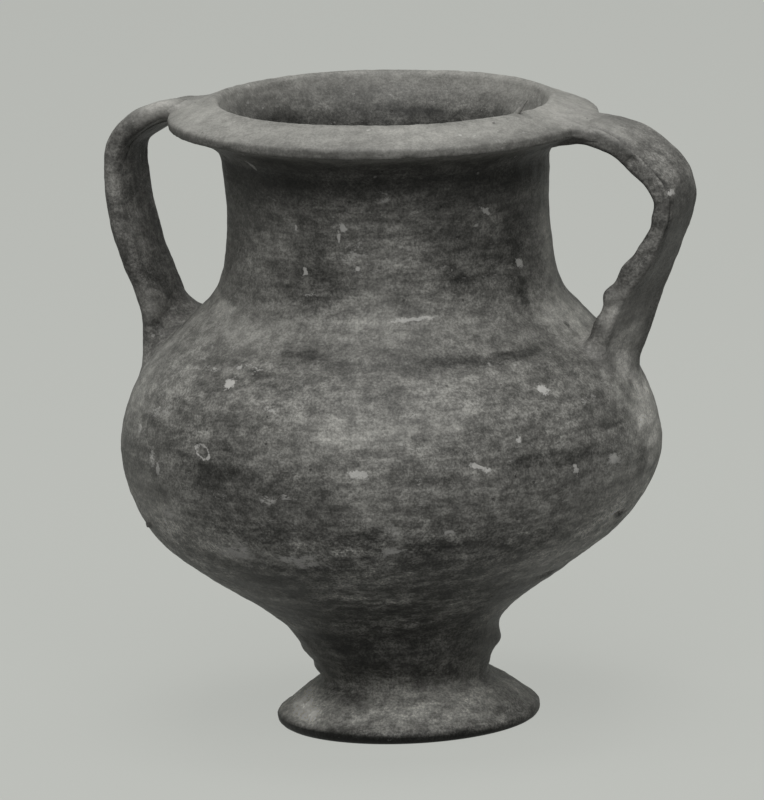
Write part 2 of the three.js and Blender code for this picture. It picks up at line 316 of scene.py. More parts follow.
@dataclass(frozen=True)
class JarOutline:
    """The jar's outside and inside lines as radius and height, in mm.

    Attributes:
        stations: Outside of the wall from the stem seam up to the lip seam.
        stem: Outside of the stem from the foot seam up to the wall.
        wall: Thickness of the clay.
        belly_seam: Height of the seam between bowl and shoulder.
        neck_seam: Height of the seam between shoulder and neck.
        bowl_floor: Height of the floor inside.
        top: Height of the crest round the mouth.
        mouth_radius: Radius of the mouth.
        crest_radius: Radius of the crest.
        crest_round: Rounding of the crest.
        lip_radius: Radius of the lip's edge.
        lip_edge: Heights of the bottom and the top of the lip's edge.
        lip_corner: Rounding of that edge's corners.
        underside: Reach and fall of the hollow under the lip.
        flare_rise: How far the lip rises before it flares, outside and inside.
        rest_radius: Radius of the foot's resting face.
        foot_radius: Radius of the foot's edge.
        foot_edge: Heights of the edge's widest place and of its top.
        foot_top: Radius of the edge's top.
        foot_hollow: The place that the foot's top bends round.
        corners: Rounding where foot and stem meet, and where stem and wall meet.
    """

    stations: tuple[tuple[float, float], ...] = (
        (21.4, 20.5), (27.9, 26.0), (38.2, 33.0), (49.8, 43.0), (55.3, 57.0),
        (50.9, 73.0), (41.5, 83.0), (35.2, 90.5), (33.0, 104.0), (33.5, 117.0),
    )
    stem: tuple[tuple[float, float], ...] = ((17.3, 9.4), (18.1, 12.4), (20.5, 16.6), (21.4, 20.5))
    wall: float = 4.6
    belly_seam: float = 44.0
    neck_seam: float = 90.5
    bowl_floor: float = 23.0
    top: float = 129.2
    mouth_radius: float = 33.6
    crest_radius: float = 34.6
    crest_round: float = 0.8
    lip_radius: float = 43.8
    lip_edge: tuple[float, float] = (123.6, 125.7)
    lip_corner: float = 0.6
    underside: tuple[float, float] = (5.5, 1.4)
    flare_rise: tuple[float, float] = (3.0, 4.0)
    rest_radius: float = 25.3
    foot_radius: float = 27.0
    foot_edge: tuple[float, float] = (1.8, 3.6)
    foot_top: float = 25.2
    foot_hollow: tuple[float, float] = (21.6, 6.7)
    corners: tuple[float, float] = (1.2, 3.0)

    @cached_property
    def line(self) -> SmoothLine:
        """The outside of the wall."""
        return SmoothLine(self.stations)

    def share_at(self, height: float) -> float:
        """The share of the way up the wall at which it reaches a height."""
        return float(np.interp(height, self.line.points[:, 1], self.line.shares))

    def wall_point(self, share: float, depth: float = 0.0, along: float = 0.0) -> np.ndarray:
        """A point in the wall.

        Args:
            share: The share of the way up the wall.
            depth: Distance into the clay.
            along: Distance along the wall.

        Returns:
            Its radius and height.
        """
        run = self.line.run(share)
        return self.line.at(share) + depth * np.array([-run[1], run[0]]) + along * run

    def inside(self, low: float, high: float, spacing: float) -> np.ndarray:
        """Points down the inside of the wall from one share of the way up to a lower one."""
        shares = np.linspace(high, low, INSIDE_SAMPLES)
        run = self.line.run(shares)
        inward = np.stack([-run[:, 1], run[:, 0]], -1)
        return evenly(self.line.at(shares) + self.wall * inward, spacing)

    @cached_property
    def foot_line(self) -> np.ndarray:
        """The outside of the foot from its resting face up to the stem."""
        widest, edge_top = self.foot_edge
        edge, top = (self.foot_radius, widest), (self.foot_top, edge_top)
        under = bezier([(self.rest_radius, 0.0), (self.foot_radius, 0.0), edge], ROUND_STEPS)
        over = bezier([edge, (self.foot_radius, (widest + edge_top) / 2), top], ROUND_STEPS)
        flare = bezier([top, self.foot_hollow, self.stem[0]], SWEEP_STEPS)
        return np.vstack([under, over[1:], flare[1:]])

    @cached_property
    def lip_line(self) -> np.ndarray:
        """The lip from its seam, under its hollow and round its edge to the inner edge of its crest."""
        seam = self.line.at(1.0)
        bottom, top = self.lip_edge
        radius, corner = self.lip_radius, self.lip_corner
        reach, fall = self.underside
        crest_foot = (self.crest_radius + self.crest_round, self.top - self.crest_round / 3)
        slope = (crest_foot[1] - top) / (radius - crest_foot[0])
        rise, hollow = (seam[0], seam[1] + self.flare_rise[0]), (radius - reach, bottom - fall)
        edge = (radius - corner, bottom)
        flare = bezier([seam, rise, hollow, edge], FLARE_STEPS)
        low = bezier([edge, (radius, bottom), (radius, bottom + corner)], CORNER_STEPS)
        over = (radius - corner, top + corner * slope)
        high = bezier([(radius, top - corner), (radius, top), over], CORNER_STEPS)
        crest_top = (self.crest_radius, self.top + self.crest_round / 3)
        mouth_edge = (self.mouth_radius, self.top - self.crest_round)
        crest = bezier([crest_foot, crest_top, mouth_edge], ROUND_STEPS)
        return np.vstack([flare, low[1:], high, crest])

    @cached_property
    def lip_inside(self) -> np.ndarray:
        """The inside of the lip from its crest down to its seam."""
        seam = self.wall_point(1.0, self.wall)
        start = (self.mouth_radius, self.top - self.crest_round)
        rise = self.flare_rise[1]
        hang = (start[0] - self.crest_round, self.top - rise)
        return bezier([start, hang, (seam[0], seam[1] + rise), seam], SWEEP_STEPS)

    @cached_property
    def stretches(self) -> tuple[np.ndarray, np.ndarray, np.ndarray]:
        """The outside of foot, stem and wall, with the corners between them rounded."""
        foot, stem = rounded_corner(self.foot_line, SmoothLine(self.stem).points, self.corners[0])
        stem, wall = rounded_corner(stem, self.line.points, self.corners[1])
        return foot, stem, wall

    def wall_skin(self, low: float, high: float, spacing: float) -> np.ndarray:
        """Points up the outside of the wall.

        Args:
            low: Height of the lowest point, or less to begin at the stem.
            high: Height of the highest point.
            spacing: Distance between points.

        Returns:
            Radius and height of each point.
        """
        wall = self.stretches[2]
        low = max(low, wall[0, 1])
        ends = np.column_stack([np.interp((low, high), wall[:, 1], wall[:, 0]), (low, high)])
        between = wall[(wall[:, 1] > low) & (wall[:, 1] < high)]
        return evenly(np.vstack([ends[0], between, ends[1]]), spacing)

    @cached_property
    def outside(self) -> np.ndarray:
        """The whole outside from the stem seam to the mouth."""
        return np.vstack([evenly(self.stretches[2], WALL_SPACING), evenly(self.lip_line, LIP_SPACING)[1:]])

    def radius_at(self, height: np.ndarray) -> np.ndarray:
        """The radius of the outside at a height."""
        crest = int(self.outside[:, 1].argmax()) + 1
        return np.interp(height, self.outside[:crest, 1], self.outside[:crest, 0])

    def nearest(self, points: np.ndarray) -> tuple[np.ndarray, np.ndarray]:
        """Finds the nearest places on the outside.

        Args:
            points: Places near the outside of the jar.

        Returns:
            The places on the outside, and the directions out of the clay there.
        """
        rho = np.hypot(points[:, 0], points[:, 1])
        around = points[:, :2] / rho[:, None]
        flat = np.stack([rho, points[:, 2]], -1)
        index = np.linalg.norm(flat[:, None] - self.outside[None], axis=2).argmin(1)
        found = self.outside[index]
        run = unit(np.gradient(self.outside, axis=0))[index]
        places = np.column_stack([around * found[:, :1], found[:, 1]])
        return places, np.column_stack([around * run[:, 1:], -run[:, 0]])

    def spot(self, azimuth: float, height: float) -> np.ndarray:
        """The place on the outside at an azimuth in degrees and a height."""
        radius = float(self.radius_at(np.array(height)))
        angle = math.radians(azimuth)
        return np.array([radius * math.cos(angle), radius * math.sin(angle), height])


PATCH_REACH = 3.0
CRISP_EDGE = 3.0
SOFT_REACH = 2.0
RAGS = ((1.0, (6.0, 6.0, 2.4)), (0.6, (2.2, 2.2, 1.2)))


@dataclass(frozen=True)
class Patch:
    """An oval place on the outside of the jar.

    Attributes:
        azimuth: Degrees from +X.
        height: Height in mm.
        around: Half width round the jar, in mm.
        tall: Half height, in mm.
        amount: How much it lifts the clay in mm, or changes its tone.
        falloff: How it fades to its edge.
        slope: Rise per mm round the jar.
        ragged: How uneven its edge is.
    """

    azimuth: float
    height: float
    around: float
    tall: float
    amount: float
    falloff: Falloff = Falloff.SOFT
    slope: float = 0.0
    ragged: float = 0.0

    def cover(self, points: np.ndarray) -> np.ndarray:
        """How much the patch changes each upright point."""
        turn = np.degrees(np.arctan2(points[:, 1], points[:, 0])) - self.azimuth
        arc = np.radians((turn + 180.0) % 360.0 - 180.0) * np.hypot(points[:, 0], points[:, 1])
        reach = np.hypot(arc / self.around, (points[:, 2] - self.height - self.slope * arc) / self.tall)
        cover = np.zeros(len(points))
        near = np.flatnonzero(reach < PATCH_REACH)
        edge = reach[near]
        if self.ragged:
            for share, size in RAGS:
                edge = edge + share * self.ragged * NOISE.at(points[near], size)
        cover[near] = self.fade(edge)
        return self.amount * cover

    def fade(self, reach: np.ndarray) -> np.ndarray:
        """The patch's share at a distance from its middle, where 1 is its edge."""
        if self.falloff is Falloff.CRISP:
            return np.clip(CRISP_EDGE * (1.0 - reach), 0.0, 1.0)
        if self.falloff is Falloff.POINTED:
            return np.clip(1.0 - reach, 0.0, None)
        return np.clip(1.0 - np.clip(reach, 0.0, None) ** 2 / SOFT_REACH**2, 0.0, None) ** 4


@dataclass(frozen=True)
class Blob:
    """A round place on a handle.

    Attributes:
        place: Its upright place in mm.
        radius: Its radius in mm.
        amount: How much it lifts the clay in mm, or changes its tone.
    """

    place: tuple[float, float, float]
    radius: float
    amount: float

    def cover(self, points: np.ndarray) -> np.ndarray:
        """How much the blob changes each upright point."""
        reach = np.linalg.norm(points - np.array(self.place), axis=1) / self.radius
        return self.amount * np.clip(1.0 - reach**2, 0.0, None) ** 2


def blobs(*rows: Sequence[float]) -> tuple[Blob, ...]:
    """Round places from rows of place, radius and amount."""
    return tuple(Blob(tuple(row[:3]), *row[3:]) for row in rows)


@dataclass(frozen=True)
class Fold:
    """A fold along the back of a handle.

    Attributes:
        path: Distance along the strap and distance across it, in mm, at places along the fold.
        reach: Half its width in mm.
        amount: How much it lifts the clay, in mm.
        shade: How much it darkens the clay, as painted shade in its groove.
        wander: How far it wanders across the strap, and over what length, in mm.
        fade: Half the length over which each of its ends runs out, in mm.
    """

    path: tuple[tuple[float, float], ...]
    reach: float
    amount: float
    shade: float = 0.0
    wander: tuple[float, float] = (0.35, 2.6)
    fade: float = 2.0

    def cover(self, bar: np.ndarray) -> np.ndarray:
        """The fold's share at each point of the straight bar."""
        along, across = np.array(self.path).T
        swing, length = self.wander
        middle = np.interp(bar[:, 2], along, across) + swing * NOISE.at(bar[:, 2:] * (1.0, 0.0, 0.0), length)
        ends = smoothstep(bar[:, 2], along[0] - self.fade, along[0] + self.fade)
        ends = ends * (1.0 - smoothstep(bar[:, 2], along[-1] - self.fade, along[-1] + self.fade))
        reach = (bar[:, 0] - middle) / self.reach
        return ends * (bar[:, 1] > 0.0) * np.clip(1.0 - reach**2, 0.0, None) ** 2


@dataclass(frozen=True)
class Weathering:
    """The unevenness of hand-made, worn clay, as lifts in mm.

    Attributes:
        wobble: Height and size of the slow unevenness.
        ridges: Height and pitch of the throwing ridges.
        ridge_drift: How far the ridges stray, in radians, and the size of the places where they do.
        ridge_fade: Their mean height, how far it comes and goes, and the size of the places where it does.
        crumbs: Height and size of the roughness.
        fine: Height and size of the finest roughness.
        tear: Height and size of the extra roughness of the stem.
        tear_band: Heights at which that sets in, is full, begins to fade and ends.
        rest_fade: Height over which all this sets in above the resting face.
        marks: Lumps, dents and chips.
    """

    wobble: tuple[float, float] = (0.2, 26.0)
    ridges: tuple[float, float] = (0.05, 4.3)
    ridge_drift: tuple[float, tuple[float, float, float]] = (5.0, (70.0, 70.0, 18.0))
    ridge_fade: tuple[float, float, tuple[float, float, float]] = (0.6, 0.4, (40.0, 40.0, 9.0))
    crumbs: tuple[float, float] = (0.08, 2.4)
    fine: tuple[float, float] = (0.045, 1.1)
    tear: tuple[float, tuple[float, float, float]] = (0.22, (6.4, 6.4, 2.8))
    tear_band: tuple[float, float, float, float] = (8.0, 12.0, 18.0, 24.0)
    rest_fade: float = 1.2
    marks: tuple[Patch, ...] = (
        Patch(-144.9, 45.4, 0.9, 0.7, 0.9),
        Patch(-9.1, 46.1, 3.2, 0.7, -0.7, Falloff.CRISP),
        Patch(-16.2, 32.9, 4.0, 0.6, -0.5, Falloff.CRISP),
        Patch(-116.5, 64.5, 1.7, 1.9, -0.3, Falloff.CRISP),
        Patch(-16.0, 2.4, 6.5, 2.2, -0.9),
        Patch(-162.0, 17.6, 8.0, 1.8, -0.6),
        Patch(-162.0, 11.6, 8.0, 1.3, 0.6),
        Patch(18.0, 16.2, 7.0, 1.7, 0.6),
        Patch(18.0, 10.2, 7.0, 0.9, -0.7),
        Patch(18.0, 8.2, 7.0, 1.3, -0.7),
        Patch(-119.0, 123.7, 2.4, 0.9, -0.5, Falloff.POINTED),
        Patch(-97.0, 126.4, 1.2, 0.5, -0.4, Falloff.POINTED),
        Patch(-66.0, 123.8, 1.8, 0.8, -0.4, Falloff.POINTED),
    )

    def lift(self, points: np.ndarray) -> np.ndarray:
        """How far out of the clay each upright point of the jar's skin stands."""
        height = points[:, 2]
        turn = np.arctan2(points[:, 1], points[:, 0]) / (2.0 * math.pi)
        lift = self.wobble[0] * NOISE.at(points, self.wobble[1])
        stray, stray_size = self.ridge_drift
        phase = 2.0 * math.pi * (height / self.ridges[1] + turn) + stray * NOISE.at(points, stray_size)
        mean, swing, swing_size = self.ridge_fade
        lift += self.ridges[0] * np.sin(phase) * (mean + swing * NOISE.at(points, swing_size))
        crumbs, fine = (depth * NOISE.at(points, size) for depth, size in (self.crumbs, self.fine))
        lift += crumbs + fine
        tear, tear_size = self.tear
        band = smoothstep(height, *self.tear_band[:2]) * (1.0 - smoothstep(height, *self.tear_band[2:]))
        lift += tear * band * NOISE.at(points, tear_size)
        for mark in self.marks:
            lift += mark.cover(points)
        return lift * smoothstep(height, 0.0, self.rest_fade)


ALL_ROUND = 1000.0
CLOUD_RAGS = 0.4
STAIN_RAGS = 0.6
# Bands all round the jar, all painted light and shade: a lighter band on the lip's top where light falls from
# above, darker bands under the lip where it shades the neck, and a lighter band on the foot's top in place of
# the light that the belly blocks.
PAINTED_LIGHT_AND_SHADE_BANDS = (
    (127.8, 1.9, 0.45), (117, 4.8, -0.62), (121.2, 1.5, -0.5), (6.2, 3, 1.3),
)
# Clouds of the clay's own tone mixed with painted light and shade: lighter clouds at the jar's left and right
# limbs stand in for light thrown back from the floor, lighter ones on the belly's front are a painted
# highlight, darker ones on the neck under the lip are painted shade, and others darken the belly low down.
TONE_AND_PAINTED_LIGHT_CLOUDS = (
    (108, 123, 45, 6, -0.25), (165, 122, 14, 6, -0.3), (-1, 127.3, 11, 4, 0.4), (-42, 103, 14, 9, -0.42),
    (-97, 103, 4, 11, -0.32), (-77, 95, 6, 7, 0.35), (-120, 103, 8, 6, 0.3), (-84, 113.5, 7, 3.5, -0.3),
    (-20, 104, 5, 5, -0.32), (-24, 100, 3.5, 10, -0.3), (-40, 97, 8, 3, -0.32), (-103, 95, 8, 2.6, -0.32),
    (-97, 96.5, 7, 3, -0.3), (3, 100, 5, 9, 1.3), (-150, 92, 8, 5, 0.6), (-72, 89, 18, 3.5, 0.25),
    (-124, 86, 15, 4.5, 0.75), (-2, 85.5, 11, 4.5, 1.6), (-51, 81.8, 11, 2, -0.35),
    (-27, 78.5, 8, 2.2, -0.3), (-99, 79, 9, 4.5, -0.3), (-77, 70, 13, 3.4, 0.7), (-60, 72.5, 8, 3, 0.3),
    (-150, 71, 10, 6, 0.7), (-124, 67, 7, 5, -0.28), (-112, 60.5, 7, 4, -0.5), (-116, 62, 8, 5, -0.35),
    (-97, 59.5, 9, 4, -0.42), (-62, 61, 6, 2.2, -0.3), (-38, 62, 8, 2.2, -0.25), (-76, 57, 5, 5, 0.3),
    (-71, 47, 2.4, 5, 0.7), (-62, 45.5, 6, 2.2, -0.2), (-40, 51, 10, 3, 0.5), (4, 66, 10, 11, 2.8),
    (-12, 49, 16, 6, 1.8), (-18, 57, 9, 3.5, 0.5), (-24, 39.5, 12, 5, 1.2), (-138, 49.5, 14, 5, 1.8),
    (-108, 44.2, 13, 2.6, 1.2), (-122, 46, 10, 4, 0.5), (-141, 3.8, 14, 3.8, 2), (-50, 9.8, 9, 1.6, 0.5),
    (-113, 35.5, 12, 3, -0.5), (-92, 28.5, 30, 6, -0.6), (-98, 20.5, 18, 3.6, -0.45),
    (-75, 14, 16, 5, -0.25), (-112, 7.2, 8, 1.8, -0.4), (-126, 8.4, 6, 1.8, -0.6),
    (-75, 18.5, 22, 5, -0.22), (-125, 18, 7, 6, -0.3), (-147, 127, 10, 4, 0.25), (55, 126, 12, 5, 0.35),
    (-95, 98, 7, 5, -0.28), (-112, 58.5, 9, 5, -0.2), (-87, 69, 8, 4, 0.25), (-72, 37, 24, 4, -0.18),
    (-160, 82, 5, 6, 0.55),
)
STAINS = (
    (-42, 82, 17, 1.1, -0.45, 0), (-97, 83.3, 5, 0.8, -0.5, 0), (-107, 79.4, 4, 0.7, -0.4, 0),
    (-34, 62.8, 13, 1.7, -0.45, 0.03), (-15.5, 66.5, 6, 0.7, -0.55, -0.1), (-1, 72.2, 1.2, 1.4, -0.5, 0),
    (-6, 57.5, 2.8, 4.2, -0.6, 0), (-5, 45.2, 3, 0.7, -0.7, 0), (-13.6, 32.2, 3.5, 0.6, -0.6, 0),
    (-77, 49.1, 5, 1.6, -0.35, 0), (-63, 46.6, 7, 1.8, -0.45, 0), (-60, 66.1, 3.5, 0.6, -0.35, 0),
    (-66, 68.8, 1.8, 1, -0.4, 0), (-80, 64, 1.6, 0.9, -0.35, 0), (-128.7, 72.3, 2.5, 1.2, -0.4, 0),
    (-137, 67.7, 5, 1, -0.35, 0), (-104.7, 37.7, 8, 1.5, -0.3, 0), (-86, 41.2, 7, 1.2, -0.3, 0),
    (-8, 84.6, 1.1, 1.2, -0.85, -0.4), (-21.5, 93, 1.6, 5, -0.45, 0), (-45, 96.3, 6, 2.5, -0.25, 0),
    (-14, 4, 7, 3.4, -0.35, 0),
)
CRUSTS = (
    (-110, 43.6, 5, 1.6, 1), (-94.5, 44, 6, 1.3, 1.1), (-92, 42.6, 4, 1, 1), (-114, 46.3, 7, 1.4, 0.8),
    (-101, 48, 4, 1.2, 0.7), (-93, 48.2, 3, 1, 0.6), (-112, 55.2, 5, 1.6, 0.7), (-99, 56.4, 2.5, 1.2, 0.9),
    (-95, 57.4, 1.5, 0.8, 0.9), (-130, 49.5, 2.5, 1.6, 0.9), (-123, 49, 1.5, 1, 0.8),
    (-102, 51.3, 5, 1.5, 0.5), (-83.5, 37.1, 1.5, 0.8, 0.8), (-72, 51, 3.5, 3.5, 0.6),
    (-71, 45.6, 3.5, 1.2, 0.9), (-60, 49.5, 3, 0.8, 0.7), (-66.5, 67.1, 4, 0.9, 0.7),
    (-67.5, 73.3, 2, 1.2, 0.7), (-66.7, 61, 1.2, 3, 0.6), (-89.8, 45, 2, 1, 0.9),
    (-67.4, 55.9, 2, 0.8, 0.6), (-125, 79.2, 4, 1.2, 0.7), (-113, 80.3, 5, 0.9, 0.7),
    (-134.5, 70.3, 5, 1.5, 0.7), (-141.8, 65.2, 1.2, 1, 0.9), (-133.4, 60.7, 1.8, 2.5, 0.9),
    (-101, 73.6, 2.5, 1.2, 0.6), (-18, 60, 4, 3, 0.8), (-22.5, 72.3, 4, 1.5, 0.6),
    (-42.3, 52.3, 3, 1.2, 0.6), (-32, 38, 3, 3, 0.5), (-129, 99.8, 5, 5, 0.4), (-85, 103, 5, 4, 0.5),
    (-64, 104, 3, 1.5, 0.5), (-39, 107, 1.5, 1.2, 0.7), (-73, 114, 1.5, 2, 0.6), (-20, 97.7, 1.8, 1.5, 0.8),
    (-100.6, 94.1, 3, 0.6, 0.8),
)
# Painted shadow: a dark band all round the foot's bottom edge, standing in for the shade under the undercut
# edge where the foot meets the floor.
FOOT_PAINTED_SHADOW = Patch(-130.0, 0.0, 80.0, 2.9, -0.94, Falloff.CRISP)


@dataclass(frozen=True)
class Toning:
    """Light and dark places of the clay: its own tone from firing, handling and burial, and painted light and
    shade where light falls and where it is blocked.

    Attributes:
        clouds: Places on the jar that are lighter or darker, as a share of the clay's colour, painted light
            and shade among them.
        crusts: Places where pale crust from the ground clings.
        crust_limit: The thickest crust.
        grains: Heights, and the strength of the mottling there.
        dark_grain: Strength of the mottling where the tone is nothing, and how fast it falls with the tone.
        grain_range: Least and greatest strength that this gives.
    """

    clouds: tuple[Patch, ...] = (
        *(Patch(0.0, height, ALL_ROUND, tall, amount) for height, tall, amount in PAINTED_LIGHT_AND_SHADE_BANDS),
        *(Patch(*row, ragged=CLOUD_RAGS) for row in TONE_AND_PAINTED_LIGHT_CLOUDS),
        *(Patch(*row[:5], Falloff.CRISP, row[5], STAIN_RAGS) for row in STAINS),
        FOOT_PAINTED_SHADOW,
    )
    crusts: tuple[Patch, ...] = tuple(Patch(*row, ragged=CLOUD_RAGS) for row in CRUSTS)
    crust_limit: float = 0.95
    grains: tuple[tuple[float, float], ...] = (
        (0.0, 1.7), (10.0, 1.9), (16.0, 1.8), (30.0, 2.6), (46.0, 2.6), (54.0, 1.6),
        (72.0, 1.5), (85.0, 1.25), (98.0, 1.5), (118.0, 1.5), (123.0, 1.0), (126.0, 0.72),
    )
    dark_grain: tuple[float, float] = (1.5, 0.45)
    grain_range: tuple[float, float] = (0.75, 1.4)

    def tone(self, points: np.ndarray) -> np.ndarray:
        """The share of the clay's colour that each upright point of the jar has, painted light and shade
        included.
        """
        tone = np.ones(len(points))
        for place in self.clouds:
            tone *= 1.0 + place.cover(points)
        return tone

    def crust(self, points: np.ndarray) -> np.ndarray:
        """How thickly crust clings to each upright point."""
        return np.minimum(sum(place.cover(points) for place in self.crusts), self.crust_limit)

    def grain(self, points: np.ndarray, tone: np.ndarray) -> np.ndarray:
        """How strongly the clay is mottled at each upright point, more where its tone is dark."""
        most, fall = self.dark_grain
        strength = np.interp(points[:, 2], *np.array(self.grains).T)
        return strength * np.clip(most - fall * tone, *self.grain_range)


@dataclass(frozen=True)
class Speck:
    """A pale grit or scrape in the clay's skin.

    Attributes:
        azimuth: Degrees from +X.
        height: Height in mm.
        wide: Half width in mm.
        tall: Half height in mm.
        tilt: Turn on the wall, in degrees.
        out: Distance out from the jar's outside, in mm, for a speck on a handle.
        ring: Whether only its rim is pale.
    """

    azimuth: float
    height: float
    wide: float
    tall: float
    tilt: float = 0.0
    out: float = 0.0
    ring: bool = False


WALL_SPECKS = tuple(
    Speck(*row)
    for row in (
        (-88.2, 107.9, 0.7, 1), (-89.8, 105.8, 0.4, 1.3, 10), (-106.4, 107.7, 0.4, 0.7),
        (-103, 98.7, 0.5, 1), (-83.3, 99.7, 0.5, 0.5), (-35.6, 109.9, 1.3, 0.7, -25),
        (-21, 98, 0.9, 1.2, 20), (-123.6, 118.9, 1.5, 0.4, -35), (-114.9, 77.3, 1.4, 1.3),
        (-33.6, 75.6, 1.4, 0.9, -35), (-79.3, 62.3, 2.2, 0.8, -8), (-54, 62.9, 1.6, 0.5, -25),
        (-51.8, 61.9, 0.8, 0.5), (-130.8, 58.6, 0.8, 1.3, 20), (-30.6, 59.7, 0.7, 1.2, 15),
        (-59.9, 49.5, 1, 0.5), (-43.7, 67.2, 0.5, 0.8), (-65.3, 89.8, 5.5, 0.4, 2),
        (-116.5, 64.3, 2.7, 1.5, -27, 0, True), (-75.2, 14.4, 0.25, 1.1, 12),
    )
)
HANDLE_SPECKS = (Speck(-5.3, 112.8, 1.2, 0.8, out=29.6),)


@dataclass(frozen=True)
class Layer:
    """A layer of noise in a finish, and what it does there.

    Attributes:
        size: Size of its lumps in mm.
        detail: How many finer octaves it has.
        roughness: How strong these are.
        source: The noise at its low and its high places.
        target: What it does there, mostly a share of the clay's colour.
    """

    size: float
    detail: float
    roughness: float = 0.5
    source: tuple[float, float] = (0.37, 0.63)
    target: tuple[float, float] = (0.0, 1.0)


@dataclass(frozen=True)
class Dots:
    """Round dots scattered over a finish.

    Attributes:
        cell: Distance between places for a dot, in mm.
        radius: Largest radius of a dot, in mm.
        share: Share of the places that hold one.
        core: Share of its radius within which a dot is full.
        full: Share of the held places whose dot is full.
    """

    cell: float
    radius: float
    share: float
    core: float = 0.5
    full: float = 0.6


class NodeBench:
    """A node tree under construction, with short calls for the nodes that the finishes share."""

    SPECK_DEPTH = 1.6
    RING_SHARPNESS = 4.5
    RING_REACH = 3.7
    RING_EDGE = 0.6

    def __init__(self, tree: bpy.types.NodeTree) -> None:
        """Empties the tree.

        Args:
            tree: The node tree to build in.
        """
        self.tree = tree
        tree.nodes.clear()

    def add(self, kind: str, **settings: object) -> bpy.types.Node:
        """Adds a node.

        Args:
            kind: The node's type.
            **settings: Its own properties.

        Returns:
            The node.
        """
        node = self.tree.nodes.new(kind)
        for name, value in settings.items():
            setattr(node, name, value)
        return node

    def feed(self, socket: bpy.types.NodeSocket, source: object) -> None:
        """Sets a socket from another node's output or from a plain value."""
        if isinstance(source, bpy.types.NodeSocket):
            self.tree.links.new(source, socket)
        else:
            socket.default_value = source

    def math(self, operation: str, first: object, second: object) -> bpy.types.NodeSocket:
        """Works one sum on two numbers."""
        node = self.add("ShaderNodeMath", operation=operation)
        self.feed(node.inputs[0], first)
        self.feed(node.inputs[1], second)
        return node.outputs[0]

    def spread(
        self, value: object, source: tuple[float, float], target: tuple[float, float], smooth: bool = False
    ) -> bpy.types.NodeSocket:
        """Maps one range of numbers to another, clamped at its ends.

        Args:
            value: The number to map.
            source: The range that it comes from.
            target: The range that it goes to.
            smooth: Whether the ends ease in.

        Returns:
            The mapped number.
        """
        node = self.add("ShaderNodeMapRange", interpolation_type="SMOOTHSTEP" if smooth else "LINEAR")
        for socket, number in zip(node.inputs[1:5], (*source, *target)):
            socket.default_value = number
        self.feed(node.inputs[0], value)
        return node.outputs[0]

    def stretch(self, vector: object, scale: Sequence[float]) -> bpy.types.NodeSocket:
        """Scales coordinates by axis."""
        node = self.add("ShaderNodeMapping")
        self.feed(node.inputs["Vector"], vector)
        node.inputs["Scale"].default_value = scale
        return node.outputs[0]

    def noise(self, vector: object, layer: Layer) -> bpy.types.NodeSocket:
        """Reads a layer's noise."""
        node = self.add("ShaderNodeTexNoise")
        self.feed(node.inputs["Vector"], vector)
        node.inputs["Scale"].default_value = 1.0 / (layer.size * MM)
        node.inputs["Detail"].default_value = layer.detail
        node.inputs["Roughness"].default_value = layer.roughness
        return node.outputs["Fac"]

    def laid(self, value: object, layer: Layer) -> bpy.types.NodeSocket:
        """Turns a layer's noise to what it does."""
        return self.spread(value, layer.source, layer.target, True)

    def shift(self, vector: object, size: float, reach: float) -> bpy.types.NodeSocket:
        """Ruffles coordinates by noise.

        Args:
            vector: The coordinates.
            size: Size of the noise's lumps in mm.
            reach: How far a place may move, in mm.

        Returns:
            The ruffled coordinates.
        """
        node = self.add("ShaderNodeTexNoise")
        self.feed(node.inputs["Vector"], vector)
        node.inputs["Scale"].default_value = 1.0 / (size * MM)
        centred = self.add("ShaderNodeVectorMath", operation="SUBTRACT")
        self.feed(centred.inputs[0], node.outputs["Color"])
        centred.inputs[1].default_value = (0.5, 0.5, 0.5)
        moved = self.add("ShaderNodeVectorMath", operation="MULTIPLY_ADD")
        self.feed(moved.inputs[0], centred.outputs[0])
        moved.inputs[1].default_value = (2.0 * reach * MM,) * 3
        self.feed(moved.inputs[2], vector)
        return moved.outputs[0]

    def dots(self, vector: object, dots: Dots) -> bpy.types.NodeSocket:
        """Scatters round dots.

        Args:
            vector: The coordinates.
            dots: The dots.

        Returns:
            A mask that is 1 in the dots.
        """
        node = self.add("ShaderNodeTexVoronoi")
        self.feed(node.inputs["Vector"], vector)
        node.inputs["Scale"].default_value = 1.0 / (dots.cell * MM)
        edge = dots.radius / dots.cell
        disc = self.spread(node.outputs["Distance"], (edge, dots.core * edge), (0.0, 1.0), True)
        chosen = self.add("ShaderNodeSeparateColor")
        self.feed(chosen.inputs[0], node.outputs["Color"])
        held = self.spread(chosen.outputs[0], (1.0 - dots.share, 1.0 - dots.full * dots.share), (0.0, 1.0))
        return self.math("MULTIPLY", disc, held)

    def speck(self, vector: object, speck: Speck, place: np.ndarray) -> bpy.types.NodeSocket:
        """Measures the distance from a speck's middle.

        Args:
            vector: The coordinates.
            speck: The speck.
            place: Where it sits, in metres.

        Returns:
            The distance, which is 1 at the speck's edge.
        """
        node = self.add("ShaderNodeMapping", vector_type="TEXTURE")
        self.feed(node.inputs["Vector"], vector)
        node.inputs["Location"].default_value = place
        turn = Matrix.Rotation(math.radians(speck.azimuth + 90.0), 3, "Z")
        tilt = Matrix.Rotation(math.radians(-speck.tilt), 3, "Y")
        node.inputs["Rotation"].default_value = (turn @ tilt).to_euler()
        node.inputs["Scale"].default_value = (speck.wide * MM, self.SPECK_DEPTH * MM, speck.tall * MM)
        length = self.add("ShaderNodeVectorMath", operation="LENGTH")
        self.feed(length.inputs[0], node.outputs[0])
        reach = length.outputs["Value"]
        if speck.ring:
            reach = self.math("SUBTRACT", self.math("MULTIPLY", reach, self.RING_SHARPNESS), self.RING_REACH)
            reach = self.math("ADD", self.math("ABSOLUTE", reach, 0.0), self.RING_EDGE)
        return reach

